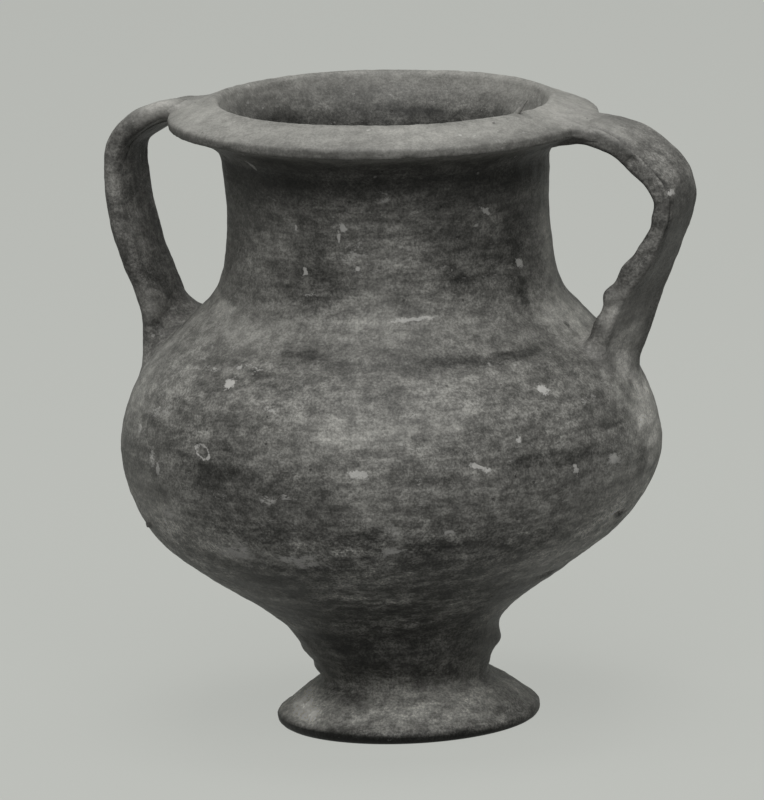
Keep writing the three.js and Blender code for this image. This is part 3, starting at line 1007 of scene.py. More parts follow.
    def own(self, name: str) -> bpy.types.NodeSocket:
        """Reads a number that the mesh holds for each vertex."""
        return self.add("ShaderNodeAttribute", attribute_name=name).outputs["Fac"]

    def shade(self, kind: str, colour: Sequence[float]) -> bpy.types.Node:
        """Adds a shader of one colour."""
        node = self.add(kind)
        node.inputs["Color"].default_value = (*colour, 1.0)
        return node

    def blend(self, share: object, first: bpy.types.Node, second: bpy.types.Node) -> bpy.types.Node:
        """Mixes two shaders.

        Args:
            share: Share of the second.
            first: The first shader.
            second: The second shader.

        Returns:
            The mixed shader.
        """
        node = self.add("ShaderNodeMixShader")
        self.feed(node.inputs["Fac"], share)
        self.feed(node.inputs[1], first.outputs[0])
        self.feed(node.inputs[2], second.outputs[0])
        return node


DRAWN_OUT = {Grain.WHEEL: (0.09, 0.09, 1.0), Grain.PULL: (1.0, 1.0, 0.1), Grain.SMEAR: (0.5, 0.5, 0.8)}


@dataclass(frozen=True)
class ClayFinish:
    """A fired, unglazed clay skin.

    Attributes:
        slot: The record's slot that it belongs to.
        grain: What its streaks follow.
        specks: Pale grits in known places.
        ruffle: Lump size and reach of the ruffling that frays small marks, in mm.
        drift: Lump size and reach of the ruffling that bends the streaks, in mm.
        lie: Scale by axis that draws out blotches and mottling.
        flake_lie: Scale by axis that draws out flakes of chalk.
        streaks: Streaks of the wheel, the pull or the smear.
        clouds: Wide clouds.
        blotches: Blotches.
        mottle: Mottling.
        speckle: The finest grain.
        flakes: Flakes of chalk, as a mask.
        stray: Places where flakes cling without crust, as an addition to their noise.
        fray: Fraying of a speck's edge.
        pits: Dark pits.
        pit_tone: Share of the clay's colour in them.
        grits: Pale grits.
        grit_share: Share of chalk in them.
        speck_share: Share of chalk in the specks.
        speck_edge: Distances from a speck's middle at which it begins and is full.
        crust_gain: What crust adds to the flakes' noise, for a thickness of 1.
        chalk: Share of chalk in the flakes, where the crust is thin and where it is thick.
        chalk_crust: What counts as thin and as thick crust.
        chalk_colour: Colour of chalk and grit.
        roughness: Roughness of the smoothest and the roughest places.
        rough_source: The mottling's noise in those places.
        gloss: How strongly the clay shines.
        relief: Height of the bump in mm.
        bump: Strength of the bump.
        heights: Shares in it of mottling, finest grain, streaks, pits and pale places.
    """

    slot: Slot
    grain: Grain
    specks: tuple[Speck, ...] = ()
    ruffle: tuple[float, float] = (1.8, 0.6)
    drift: tuple[float, float] = (12.0, 1.2)
    lie: tuple[float, float, float] = (0.65, 0.65, 1.0)
    flake_lie: tuple[float, float, float] = (0.5, 0.5, 1.0)
    streaks: Layer = Layer(1.3, 3.0, 0.6, (0.35, 0.65), (0.9, 1.1))
    clouds: Layer = Layer(24.0, 2.0, target=(0.93, 1.07))
    blotches: Layer = Layer(6.5, 4.0, 0.6, target=(0.86, 1.14))
    mottle: Layer = Layer(1.8, 5.0, 0.72, target=(0.79, 1.25))
    speckle: Layer = Layer(0.5, 3.0, 0.75, target=(0.8, 1.22))
    flakes: Layer = Layer(1.2, 5.0, 0.8, (0.64, 0.71))
    stray: Layer = Layer(15.0, 2.0, source=(0.4, 0.65), target=(0.0, 0.045))
    fray: Layer = Layer(0.8, 4.0, 0.75, (0.3, 0.7), (-0.6, 0.6))
    pits: Dots = Dots(3.4, 0.42, 0.35)
    pit_tone: float = 0.45
    grits: Dots = Dots(4.4, 0.45, 0.3)
    grit_share: float = 0.33
    speck_share: float = 0.66
    speck_edge: tuple[float, float] = (1.1, 0.75)
    crust_gain: float = 0.19
    chalk: tuple[float, float] = (0.26, 0.8)
    chalk_crust: tuple[float, float] = (0.35, 0.95)
    chalk_colour: tuple[float, float, float] = (0.8, 0.788, 0.748)
    roughness: tuple[float, float] = (0.48, 0.66)
    rough_source: tuple[float, float] = (0.3, 0.7)
    gloss: float = 0.2
    relief: float = 0.24
    bump: float = 0.6
    heights: tuple[float, float, float, float, float] = (0.7, 0.45, 0.12, -0.8, 0.4)

    @property
    def colour(self) -> tuple[float, float, float]:
        """The clay's own colour, from the record."""
        rows = {row["slot"]: row["base_color"] for row in frame["record"]["materials"]}
        return tuple(rows[self.slot.value])

    def streak_coordinates(self, bench: NodeBench, place: bpy.types.NodeSocket) -> bpy.types.NodeSocket:
        """Coordinates drawn out along the wheel or along the pull of the strap.

        Args:
            bench: The node tree.
            place: The piece's own coordinates.

        Returns:
            The drawn-out coordinates.
        """
        if self.grain is Grain.PULL:
            place = bench.add("ShaderNodeAttribute", attribute_name="pull").outputs["Vector"]
        return bench.stretch(place, DRAWN_OUT[self.grain])

    def speck_mask(
        self, bench: NodeBench, place: bpy.types.NodeSocket, jar: JarOutline, stance: Stance
    ) -> bpy.types.NodeSocket | None:
        """Masks the pale grits in known places, with ragged edges.

        Args:
            bench: The node tree.
            place: The piece's own coordinates, ruffled.
            jar: The jar's outline, which the specks sit on.
            stance: How the jar stands.

        Returns:
            A mask that is 1 in the specks, or nothing when there are none.
        """
        nearest = None
        for speck in self.specks:
            spot = jar.spot(speck.azimuth, speck.height)
            spot[:2] *= 1.0 + speck.out / math.hypot(*spot[:2])
            reach = bench.speck(place, speck, stance.place(spot[None])[0] * MM)
            nearest = reach if nearest is None else bench.math("MINIMUM", nearest, reach)
        if nearest is None:
            return None
        fray = bench.spread(bench.noise(place, self.fray), self.fray.source, self.fray.target)
        return bench.spread(bench.math("ADD", nearest, fray), self.speck_edge, (0.0, 1.0), True)

    def chalk_mask(
        self, bench: NodeBench, place: bpy.types.NodeSocket, ruffled: bpy.types.NodeSocket
    ) -> bpy.types.NodeSocket:
        """Masks grits and flakes of chalk, which cling most where there is crust.

        Args:
            bench: The node tree.
            place: The piece's own coordinates.
            ruffled: The same, ruffled.

        Returns:
            The share of chalk.
        """
        crust = bench.own("crust")
        flakes = bench.noise(bench.stretch(ruffled, self.flake_lie), self.flakes)
        flakes = bench.math("ADD", flakes, bench.math("MULTIPLY", crust, self.crust_gain))
        flakes = bench.math("ADD", flakes, bench.laid(bench.noise(place, self.stray), self.stray))
        chalk = bench.spread(crust, self.chalk_crust, self.chalk)
        chalk = bench.math("MULTIPLY", bench.laid(flakes, self.flakes), chalk)
        grits = bench.math("MULTIPLY", bench.dots(ruffled, self.grits), self.grit_share)
        return bench.math("MAXIMUM", grits, chalk)

    def clay_colour(
        self,
        bench: NodeBench,
        layers: Iterable[tuple[bpy.types.NodeSocket, Layer]],
        pits: bpy.types.NodeSocket,
    ) -> bpy.types.NodeSocket:
        """Colours the clay under the chalk.

        Args:
            bench: The node tree.
            layers: The noise of each layer, and the layer.
            pits: A mask that is 1 in the pits.

        Returns:
            The colour.
        """
        mottling = None
        for value, layer in layers:
            share = bench.laid(value, layer)
            mottling = share if mottling is None else bench.math("MULTIPLY", mottling, share)
        # The tone attribute brings in the painted light and shade of the bands, clouds and handle faces.
        tone = bench.math("MULTIPLY", bench.own("tone"), bench.math("POWER", mottling, bench.own("grain")))
        tone = bench.math("MULTIPLY", tone, bench.spread(pits, (0.0, 1.0), (1.0, self.pit_tone)))
        clay = bench.add("ShaderNodeVectorMath", operation="SCALE")
        clay.inputs[0].default_value = self.colour
        bench.feed(clay.inputs["Scale"], tone)
        return clay.outputs[0]

    def relief_normal(self, bench: NodeBench, values: Sequence[bpy.types.NodeSocket]) -> bpy.types.NodeSocket:
        """Raises the finest relief.

        Args:
            bench: The node tree.
            values: Mottling, finest grain, streaks, pits and pale places.

        Returns:
            The normal.
        """
        height = None
        for value, share in zip(values, self.heights):
            part = bench.math("MULTIPLY", value, share)
            height = part if height is None else bench.math("ADD", height, part)
        bump = bench.add("ShaderNodeBump")
        bump.inputs["Strength"].default_value = self.bump
        bump.inputs["Distance"].default_value = self.relief * MM
        bench.feed(bump.inputs["Height"], height)
        return bump.outputs[0]

    def material(self, jar: JarOutline, stance: Stance) -> bpy.types.Material:
        """Makes the material.

        Args:
            jar: The jar's outline, which the specks sit on.
            stance: How the jar stands.

        Returns:
            The material.
        """
        made = bpy.data.materials.new(self.slot.value)
        made.use_nodes = True
        bench = NodeBench(made.node_tree)
        place = bench.add("ShaderNodeTexCoord").outputs["Object"]
        ruffled = bench.shift(place, *self.ruffle)
        drawn = bench.shift(self.streak_coordinates(bench, place), *self.drift)
        laid = bench.stretch(place, self.lie)
        streak = bench.noise(drawn, self.streaks)
        mottle = bench.noise(laid, self.mottle)
        speckle = bench.noise(place, self.speckle)
        layers = (
            (streak, self.streaks),
            (bench.noise(place, self.clouds), self.clouds),
            (bench.noise(laid, self.blotches), self.blotches),
            (mottle, self.mottle),
            (speckle, self.speckle),
        )
        pits = bench.dots(ruffled, self.pits)
        pale = self.chalk_mask(bench, place, ruffled)
        specks = self.speck_mask(bench, ruffled, jar, stance)
        if specks is not None:
            pale = bench.math("MAXIMUM", pale, bench.math("MULTIPLY", specks, self.speck_share))

        skin = bench.add("ShaderNodeMix", data_type="RGBA")
        bench.feed(skin.inputs["Factor"], pale)
        bench.feed(skin.inputs["A"], self.clay_colour(bench, layers, pits))
        skin.inputs["B"].default_value = (*self.chalk_colour, 1.0)

        raised = self.relief_normal(bench, (mottle, speckle, streak, pits, pale))
        shader = bench.add("ShaderNodeBsdfPrincipled")
        shader.inputs["Specular IOR Level"].default_value = self.gloss
        bench.feed(shader.inputs["Base Color"], skin.outputs["Result"])
        bench.feed(shader.inputs["Roughness"], bench.spread(mottle, self.rough_source, self.roughness))
        bench.feed(shader.inputs["Normal"], raised)
        output = bench.add("ShaderNodeOutputMaterial")
        bench.feed(output.inputs["Surface"], shader.outputs[0])
        return made


@dataclass(frozen=True)
class Workshop:
    """What every piece of the jar shares.

    Attributes:
        jar: The jar's outline.
        stance: How the jar stands.
        weathering: The unevenness of its skin.
        toning: Its light and dark places.
        finishes: The finish of each slot.
        materials: The material of each slot.
    """

    jar: JarOutline
    stance: Stance
    weathering: Weathering
    toning: Toning
    finishes: dict[Slot, ClayFinish]
    materials: dict[Slot, bpy.types.Material]

    def match(self, own: Slot, other: Slot) -> float:
        """The tone at which one slot's clay looks as light as another's."""
        return sum(self.finishes[other].colour) / sum(self.finishes[own].colour)

    def finish(
        self, name: str, slot: Slot, mesh: bpy.types.Mesh, upright: np.ndarray, tone: np.ndarray
    ) -> bpy.types.Object:
        """Sets a piece's mesh in its place, dresses it and puts it in the scene.

        Args:
            name: The piece's name, which is also its node's.
            slot: The record's slot of its finish.
            mesh: Its mesh.
            upright: Where its vertices lie in the upright frame, in mm.
            tone: The share of the clay's colour at each vertex, painted light and shade included.

        Returns:
            The piece.
        """
        mesh.vertices.foreach_set("co", (self.stance.place(upright) * MM).astype(np.float32).ravel())
        held = {"tone": tone, "crust": self.toning.crust(upright), "grain": self.toning.grain(upright, tone)}
        for attribute, values in held.items():
            layer = mesh.attributes.new(attribute, "FLOAT", "POINT")
            layer.data.foreach_set("value", values.astype(np.float32))
        mesh.materials.append(self.materials[slot])
        mesh.update()
        piece = bpy.data.objects.new(name, mesh)
        bpy.context.scene.collection.objects.link(piece)
        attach(piece, BODY)
        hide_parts(name)
        LOG.info("%s: %d vertices, finish %s", name, len(mesh.vertices), slot.value)
        return piece


def vertices_of(mesh: bpy.types.Mesh) -> np.ndarray:
    """The places of a mesh's vertices."""
    flat = np.empty(len(mesh.vertices) * 3, np.float32)
    mesh.vertices.foreach_get("co", flat)
    return flat.reshape(-1, 3).astype(float)


def attribute_of(mesh: bpy.types.Mesh, name: str) -> np.ndarray:
    """Takes a number of each vertex off a mesh.

    Args:
        mesh: The mesh.
        name: The attribute, which is removed.

    Returns:
        The number at each vertex.
    """
    held = mesh.attributes[name]
    values = np.empty(len(mesh.vertices), np.int32 if held.data_type == "INT" else np.float32)
    held.data.foreach_get("value", values)
    mesh.attributes.remove(held)
    return values


def mesh_from(bm: bmesh.types.BMesh, name: str, sharp: float = 60.0) -> bpy.types.Mesh:
    """Turns a bmesh into a smooth-shaded mesh.

    Args:
        bm: The bmesh, which is freed.
        name: The mesh's name.
        sharp: Edges that bend more than this many degrees stay sharp.

    Returns:
        The mesh.
    """
    for face in bm.faces:
        face.smooth = True
    for edge in bm.edges:
        if len(edge.link_faces) == 2 and edge.calc_face_angle(0.0) > math.radians(sharp):
            edge.smooth = False
    mesh = bpy.data.meshes.new(name)
    bm.to_mesh(mesh)
    bm.free()
    return mesh


@dataclass
class HalfSection:
    """Half the section of a turned piece, built up point by point.

    Attributes:
        points: Radius and height of each point.
        outs: The direction out of the clay at each point.
        wear: How far each point shares in the weathering, from 0 to 1.
    """

    points: list[np.ndarray] = field(default_factory=list)
    outs: list[np.ndarray] = field(default_factory=list)
    wear: list[float] = field(default_factory=list)

    def skin(self, line: np.ndarray, wear: float) -> "HalfSection":
        """Adds a stretch of surface.

        Args:
            line: Its points, with the clay on their left.
            wear: How far it weathers.

        Returns:
            This section.
        """
        run = unit(np.gradient(line, axis=0))
        for point, way in zip(line, run):
            self.points.append(point)
            self.outs.append(np.array([way[1], -way[0]]))
            self.wear.append(wear)
        return self

    def hidden(self, *points: Sequence[float]) -> "HalfSection":
        """Adds points that lie inside a joint."""
        for point in points:
            self.points.append(np.array(point, float))
            self.outs.append(np.zeros(2))
            self.wear.append(0.0)
        return self


@dataclass
class TurnedPiece:
    """A piece that is thrown on the wheel.

    Attributes:
        workshop: What the pieces share.
        name: The piece's name.
        skin_spacing: Distance between rings on the outside, in mm.
        edge_spacing: Distance between rings round the foot, the stem and the lip, in mm.
        inside_spacing: Distance between rings on the inside, in mm.
        joint_room: Room kept inside a luted seam, in mm.
        ridge: Height of the ridge in a seam across the wall, in mm.
        spigot: Radius at the root and the tip of a stem spigot, and its length, in mm.
        inside_wear: How far the inside weathers.
        sharp: Edges that bend more than this many degrees stay sharp.
    """

    workshop: Workshop
    name: str
    skin_spacing: float = 0.7
    edge_spacing: float = 0.42
    inside_spacing: float = 1.1
    joint_room: float = 0.15
    ridge: float = 1.8
    spigot: tuple[float, float, float] = (10.5, 9.0, 4.0)
    inside_wear: float = 0.8
    sharp: float = 38.0

    def section(self) -> HalfSection:
        """Half the section of the piece."""
        raise NotImplementedError

    def closed(self) -> bool:
        """Whether the section closes on itself, away from the axis."""
        return False

    def attach(self, bm: bmesh.types.BMesh) -> None:
        """Adds what stands on the turned shape."""

    def seam_middle(self, share: float, room: float) -> np.ndarray:
        """The ridge in the middle of a seam across the wall."""
        jar = self.workshop.jar
        return jar.wall_point(share, jar.wall / 2, self.ridge + room)

    def spigot_points(self, seam: float) -> list[tuple[float, float]]:
        """Points from the axis round a spigot that hangs from a seam's height."""
        root, tip, length = self.spigot
        low = seam + self.joint_room
        return [(0.0, low - length), (tip, low - length), (root, low)]

    def socket_points(self, seam: float) -> list[tuple[float, float]]:
        """Points down a socket under a seam's height to the axis."""
        root, tip, length = self.spigot
        room = 2 * self.joint_room
        high = seam - self.joint_room
        return [(root + room, high), (tip + room, high - length), (0.0, high - length)]

    def build(self) -> bpy.types.Object:
        """Spins the section through a sector and the sector round the jar's axis, and weathers what it makes.

        Returns:
            The finished piece.
        """
        section = self.section()
        bm = bmesh.new()
        out_r = bm.verts.layers.float.new("out_r")
        out_z = bm.verts.layers.float.new("out_z")
        wear = bm.verts.layers.float.new("wear")
        verts = []
        for point, out, share in zip(section.points, section.outs, section.wear):
            vert = bm.verts.new((point[0], 0.0, point[1]))
            vert[out_r], vert[out_z], vert[wear] = out[0], out[1], share
            verts.append(vert)
        pairs = list(zip(verts, verts[1:]))
        if self.closed():
            pairs.append((verts[-1], verts[0]))
        edges = [bm.edges.new(pair) for pair in pairs]
        sector = 2.0 * math.pi / SECTORS
        wheel = {
            "cent": (0.0, 0.0, 0.0), "axis": (0.0, 0.0, 1.0), "dvec": (0.0, 0.0, 0.0),
            "use_merge": False, "use_normal_flip": False,
        }
        bmesh.ops.spin(
            bm, geom=verts + edges, angle=sector, steps=TURN_STEPS // SECTORS, use_duplicate=False, **wheel
        )
        bmesh.ops.spin(
            bm, geom=[*bm.verts, *bm.edges, *bm.faces], angle=2.0 * math.pi - sector, steps=SECTORS - 1,
            use_duplicate=True, **wheel,
        )
        bmesh.ops.remove_doubles(bm, verts=bm.verts, dist=MERGE_DISTANCE)
        bmesh.ops.dissolve_degenerate(bm, edges=bm.edges, dist=FLAT_DISTANCE)
        self.attach(bm)
        bmesh.ops.recalc_face_normals(bm, faces=bm.faces)
        return self.weathered(mesh_from(bm, self.name, self.sharp))

    def weathered(self, mesh: bpy.types.Mesh) -> bpy.types.Object:
        """Lifts the skin by its weathering and finishes the piece.

        Args:
            mesh: The turned mesh.

        Returns:
            The finished piece.
        """
        upright = vertices_of(mesh)
        out_r, out_z, wear = (attribute_of(mesh, name) for name in ("out_r", "out_z", "wear"))
        around = upright[:, :2] / np.maximum(np.hypot(upright[:, 0], upright[:, 1]), 1e-6)[:, None]
        out = np.column_stack([around * out_r[:, None], out_z])
        lift = wear * self.workshop.weathering.lift(upright)
        tone = self.workshop.toning.tone(upright)
        return self.workshop.finish(self.name, Slot.THROWN, mesh, upright + out * lift[:, None], tone)


@dataclass
class Foot(TurnedPiece):
    """The flaring disc that the jar stands on, with a socket for the stem.

    Attributes:
        under_start: Radius of the underside's first ring, in mm.
        under_rings: Rings that the underside is sampled at.
        under_spacing: Distance between its rings, in mm.
    """

    under_start: float = 1.0
    under_rings: int = 40
    under_spacing: float = 1.6

    def section(self) -> HalfSection:
        """Half the section of the foot."""
        jar = self.workshop.jar
        underside = np.linspace((self.under_start, 0.0), (jar.rest_radius, 0.0), self.under_rings)[:-1]
        return (
            HalfSection()
            .hidden((0.0, 0.0))
            .skin(evenly(underside, self.under_spacing), 0.0)
            .skin(evenly(jar.stretches[0], self.edge_spacing), 1.0)
            .hidden(*self.socket_points(jar.stem[0][1]))
        )


@dataclass
class Stem(TurnedPiece):
    """The short thick stem, with a spigot in the foot and a socket under the bowl."""

    def section(self) -> HalfSection:
        """Half the section of the stem."""
        jar = self.workshop.jar
        return (
            HalfSection()
            .hidden(*self.spigot_points(jar.stem[0][1]))
            .skin(evenly(jar.stretches[1], self.edge_spacing), 1.0)
            .hidden(*self.socket_points(jar.stem[-1][1]))
        )


@dataclass
class Bowl(TurnedPiece):
    """The lower half of the belly, with a spigot in the stem."""

    def section(self) -> HalfSection:
        """Half the section of the bowl."""
        jar = self.workshop.jar
        seam = jar.share_at(jar.belly_seam)
        inside = jar.inside(0.0, seam, self.inside_spacing)
        floor = bezier([inside[-1], (inside[-1][0] / 2, jar.bowl_floor), (0.0, jar.bowl_floor)], CORNER_STEPS)
        return (
            HalfSection()
            .hidden(*self.spigot_points(jar.stem[-1][1]))
            .skin(jar.wall_skin(0.0, jar.belly_seam, self.skin_spacing), 1.0)
            .hidden(self.seam_middle(seam, -self.joint_room))
            .skin(inside, self.inside_wear)
            .skin(floor[1:], 0.0)
        )


@dataclass
class WallRing(TurnedPiece):
    """A ring of the wall between two ridged seams.

    Attributes:
        low: Height of its lower seam, in mm.
        high: Height of its upper seam.
    """

    low: float = 0.0
    high: float = 0.0

    def closed(self) -> bool:
        """A ring's section closes on itself."""
        return True

    def section(self) -> HalfSection:
        """Half the section of the ring."""
        jar = self.workshop.jar
        low, high = jar.share_at(self.low), jar.share_at(self.high)
        return (
            HalfSection()
            .skin(jar.wall_skin(self.low, self.high, self.skin_spacing), 1.0)
            .hidden(self.seam_middle(high, -self.joint_room))
            .skin(jar.inside(low, high, self.inside_spacing), self.inside_wear)
            .hidden(self.seam_middle(low, self.joint_room))
        )


@dataclass
class Lip(TurnedPiece):
    """The broad ring that flares from the neck's top, with a spur of clay on its crest.

    Attributes:
        spur_azimuth: Where the spur stands, in degrees from +X.
        spur_lean: The way that it leans, in degrees from +X, and how far from upright.
        spur_length: Its length, in mm.
        spur_radius: Radius at its root and its tip, in mm.
        spur_sunk: How far its root lies under the crest's top, in mm.
        spur_sides: Sides that it has round.
        mouth_spacing: Distance between rings inside the mouth, in mm.
    """

    spur_azimuth: float = -22.0
    spur_lean: tuple[float, float] = (18.0, 40.0)
    spur_length: float = 3.8
    spur_radius: tuple[float, float] = (0.6, 0.12)
    spur_sunk: float = 0.5
    spur_sides: int = 16
    mouth_spacing: float = 0.6

    def closed(self) -> bool:
        """The lip's section closes on itself."""
        return True

    def section(self) -> HalfSection:
        """Half the section of the lip."""
        jar = self.workshop.jar
        return (
            HalfSection()
            .skin(evenly(jar.lip_line, self.edge_spacing), 1.0)
            .skin(evenly(jar.lip_inside, self.mouth_spacing)[1:], self.inside_wear)
            .hidden(self.seam_middle(1.0, self.joint_room))
        )

    def attach(self, bm: bmesh.types.BMesh) -> None:
        """Stands the spur on the crest."""
        jar = self.workshop.jar
        way, lean = (math.radians(angle) for angle in self.spur_lean)
        turn = math.radians(self.spur_azimuth)
        radius, height = jar.crest_radius, jar.top - self.spur_sunk
        root = Vector((radius * math.cos(turn), radius * math.sin(turn), height))
        leaning = Matrix.Translation(root) @ Matrix.Rotation(way, 4, "Z") @ Matrix.Rotation(lean, 4, "Y")
        thick, thin = self.spur_radius
        bmesh.ops.create_cone(
            bm, cap_ends=True, segments=self.spur_sides, radius1=thick, radius2=thin, depth=self.spur_length,
            matrix=leaning @ Matrix.Translation((0.0, 0.0, self.spur_length / 2)),
        )


def loft(bm: bmesh.types.BMesh, rings: np.ndarray) -> list[bmesh.types.BMEdge]:
    """Draws a tube through rings of points by extruding a circle from each to the next.

    Args:
        bm: The bmesh to draw in, whose layer "order" then tells each vertex's number among the points.
        rings: Points of each ring, with as many in each.

    Returns:
        The edges of the first and then of the last ring.
    """
    order = bm.verts.layers.int.new("order")
    count = len(rings[0])
    circle = bmesh.ops.create_circle(bm, segments=count, radius=1.0)["verts"]
    for index, vert in enumerate(circle):
        vert[order] = index
        vert.co = rings[0][index]
    first = list(bm.edges)
    last = first
    for number, ring in enumerate(rings[1:], 1):
        made = bmesh.ops.extrude_edge_only(bm, edges=last)["geom"]
        fresh = {item for item in made if isinstance(item, bmesh.types.BMVert)}
        for vert in fresh:
            place = vert[order] % count
            vert[order] = number * count + place
            vert.co = ring[place]
        last = [item for item in made if isinstance(item, bmesh.types.BMEdge) and set(item.verts) <= fresh]
    return first + last


@dataclass
class StrapHandle:
    """A strap pulled from wet clay, bent from the lip to the shoulder.

    Attributes:
        workshop: What the pieces share.
        name: The handle's name.
        side: The side that it stands on.
        stations: Distance from the jar's axis, height and thickness along it, in mm.
        width: Width of the strap.
        corner: Rounding of its corners.
        crown: How far its back bulges.
        front_thickness: Thickness at its front edge, where the face that the viewer sees is thinned.
        thinning: Power of the thinning, from 1 for a flat face to more for one that rounds off.
        sections: Sections along it.
        face_points: Points across each broad face of a section.
        edge_points: Points across each narrow edge.
        corner_points: Points round each corner.
        sunk: How far its ends run on into the wall, as a share of its length.
        folds: Folds along its back.
        lumps: Lumps and nicks.
        clouds: Light and dark places, painted light and shade among them.
        painted_hollow_shade: How much darker the face turned to the jar is painted, as shade that the jar
            casts on it.
        unevenness: Height and size of its unevenness, from the slowest to the finest.
        middle: A share of its length that lies outside the jar.
        halvings: Steps in the search for the place where it enters the jar.
    """

    workshop: Workshop
    name: str
    side: Side
    stations: tuple[tuple[float, float, float], ...]
    width: float = 15.0
    corner: float = 1.1
    crown: float = 0.25
    front_thickness: float = 4.0
    thinning: float = 1.0
    sections: int = 210
    face_points: int = 46
    edge_points: int = 14
    corner_points: int = 7
    sunk: float = 0.02
    folds: tuple[Fold, ...] = ()
    lumps: tuple[Blob, ...] = ()
    clouds: tuple[Blob, ...] = ()
    painted_hollow_shade: float = 0.35
    unevenness: tuple[tuple[float, float], ...] = ((0.2, 11.0), (0.12, 3.4), (0.05, 1.2))
    middle: float = 0.45
    halvings: int = 40

    @cached_property
    def line(self) -> SmoothLine:
        """The middle of the strap."""
        return SmoothLine(self.stations)

    @cached_property
    def section(self) -> np.ndarray:
        """A section's points: side across, side of the thickness, and the way out across and upwards."""
        corners = [(1.0, 1.0), (-1.0, 1.0), (-1.0, -1.0), (1.0, -1.0)]
        rows = []
        for quarter, (here, there) in enumerate(zip(corners, corners[1:] + corners[:1])):
            turns = np.radians(90.0 * quarter + np.linspace(0.0, 90.0, self.corner_points))
            rows += [(*here, math.cos(turn), math.sin(turn)) for turn in turns]
            count = self.edge_points if quarter % 2 else self.face_points
            for flat in np.linspace(here, there, count + 2)[1:-1]:
                rows.append((*flat, math.cos(turns[-1]), math.sin(turns[-1])))
        return np.array(rows)

    def bar(self, share: np.ndarray) -> np.ndarray:
        """Where a section's points lie on the straight bar before it is bent.

        Args:
            share: The share of the length at each point of the section.

        Returns:
            Distance across, rise and distance along, in mm.
        """
        side, level, out_across, out_up = self.section.T
        thickness = self.line.at(share)[:, 2]
        across = side * (self.width / 2 - self.corner) + out_across * self.corner
        rise = level * (thickness / 2 - self.corner) + out_up * self.corner
        rise += self.crown * (1.0 - side**2) * np.clip(level, 0.0, 1.0)
        front = ((1.0 - side * self.side.value) / 2.0) ** self.thinning
        seen = (1.0 + level * self.side.value) / 2.0
        rise -= self.side.value * np.clip(thickness - self.front_thickness, 0.0, None) * front * seen
        return np.column_stack([across, rise, share * self.line.length])

    def bent(self, share: np.ndarray, across: np.ndarray, rise: np.ndarray) -> np.ndarray:
        """Turns directions across and up on the bar to directions on the bent strap."""
        run, sign = self.line.run(share), self.side.value
        return np.column_stack([-sign * run[:, 1] * rise, sign * across, run[:, 0] * rise])

    def surface(self, share: np.ndarray) -> np.ndarray:
        """The upright places of a section's points on the bent strap."""
        bar, middle = self.bar(share), self.line.at(share)
        centre = np.column_stack([self.side.value * middle[:, 0], np.zeros(len(middle)), middle[:, 1]])
        return centre + self.bent(share, bar[:, 0], bar[:, 1])

    def outward(self, share: np.ndarray) -> np.ndarray:
        """The directions out of the clay at a section's points."""
        return self.bent(share, self.section[:, 2], self.section[:, 3])

    def entry(self, end: HandleEnd) -> np.ndarray:
        """The share of the length at which each line along the strap enters the jar.

        Args:
            end: The end to look at.

        Returns:
            The share for each point round the section.
        """
        inner = np.full(len(self.section), 0.0 if end is HandleEnd.TOP else 1.0)
        outer = np.full(len(self.section), self.middle)
        for _ in range(self.halvings):
            middle = (inner + outer) / 2
            places = self.surface(middle)
            within = np.hypot(places[:, 0], places[:, 1]) < self.workshop.jar.radius_at(places[:, 2])
            inner = np.where(within, middle, inner)
            outer = np.where(within, outer, middle)
        return (inner + outer) / 2

    def lift(self, share: np.ndarray) -> np.ndarray:
        """How far out of the clay each point of a section stands, in mm."""
        points, bar = self.surface(share), self.bar(share)
        lift = sum(height * NOISE.at(points, size) for height, size in self.unevenness)
        for fold in self.folds:
            lift += fold.amount * fold.cover(bar)
        for lump in self.lumps:
            lift += lump.cover(points)
        return lift

    def tone(self, share: np.ndarray) -> np.ndarray:
        """The share of the clay's colour at each point of a section, painted light and shade included."""
        points, bar = self.surface(share), self.bar(share)
        # Painted shade: the face turned to the jar is darkened as if the jar shaded it, and the folds darken
        # their grooves.
        tone = 1.0 - self.painted_hollow_shade * np.clip(-self.section[:, 3], 0.0, 1.0)
        for fold in self.folds:
            tone *= 1.0 - fold.shade * fold.cover(bar)
        for place in self.clouds:
            tone *= 1.0 + place.cover(points)
        return tone

    def build(self) -> bpy.types.Object:
        """Draws the bar along its line, closes its ends and weathers it.

        Returns:
            The finished handle.
        """
        top, root = self.entry(HandleEnd.TOP), self.entry(HandleEnd.ROOT)
        shares = [
            np.clip(top + (root - top) * share, 0.0, 1.0)
            for share in np.linspace(-self.sunk, 1.0 + self.sunk, self.sections)
        ]
        rings = np.array([self.surface(share) for share in shares])
        bm = bmesh.new()
        bmesh.ops.edgeloop_fill(bm, edges=loft(bm, rings))
        bmesh.ops.recalc_face_normals(bm, faces=bm.faces)
        mesh = mesh_from(bm, self.name)
        order = attribute_of(mesh, "order")
        straight = np.concatenate([self.bar(share) for share in shares])[order] * MM
        pull = mesh.attributes.new("pull", "FLOAT_VECTOR", "POINT")
        pull.data.foreach_set("vector", straight.astype(np.float32).ravel())
        lifts = [self.outward(share) * self.lift(share)[:, None] for share in shares]
        upright = (rings + np.array(lifts)).reshape(-1, 3)[order]
        tone = np.concatenate([self.tone(share) for share in shares])[order]
        return self.workshop.finish(self.name, Slot.PULLED, mesh, upright, tone)


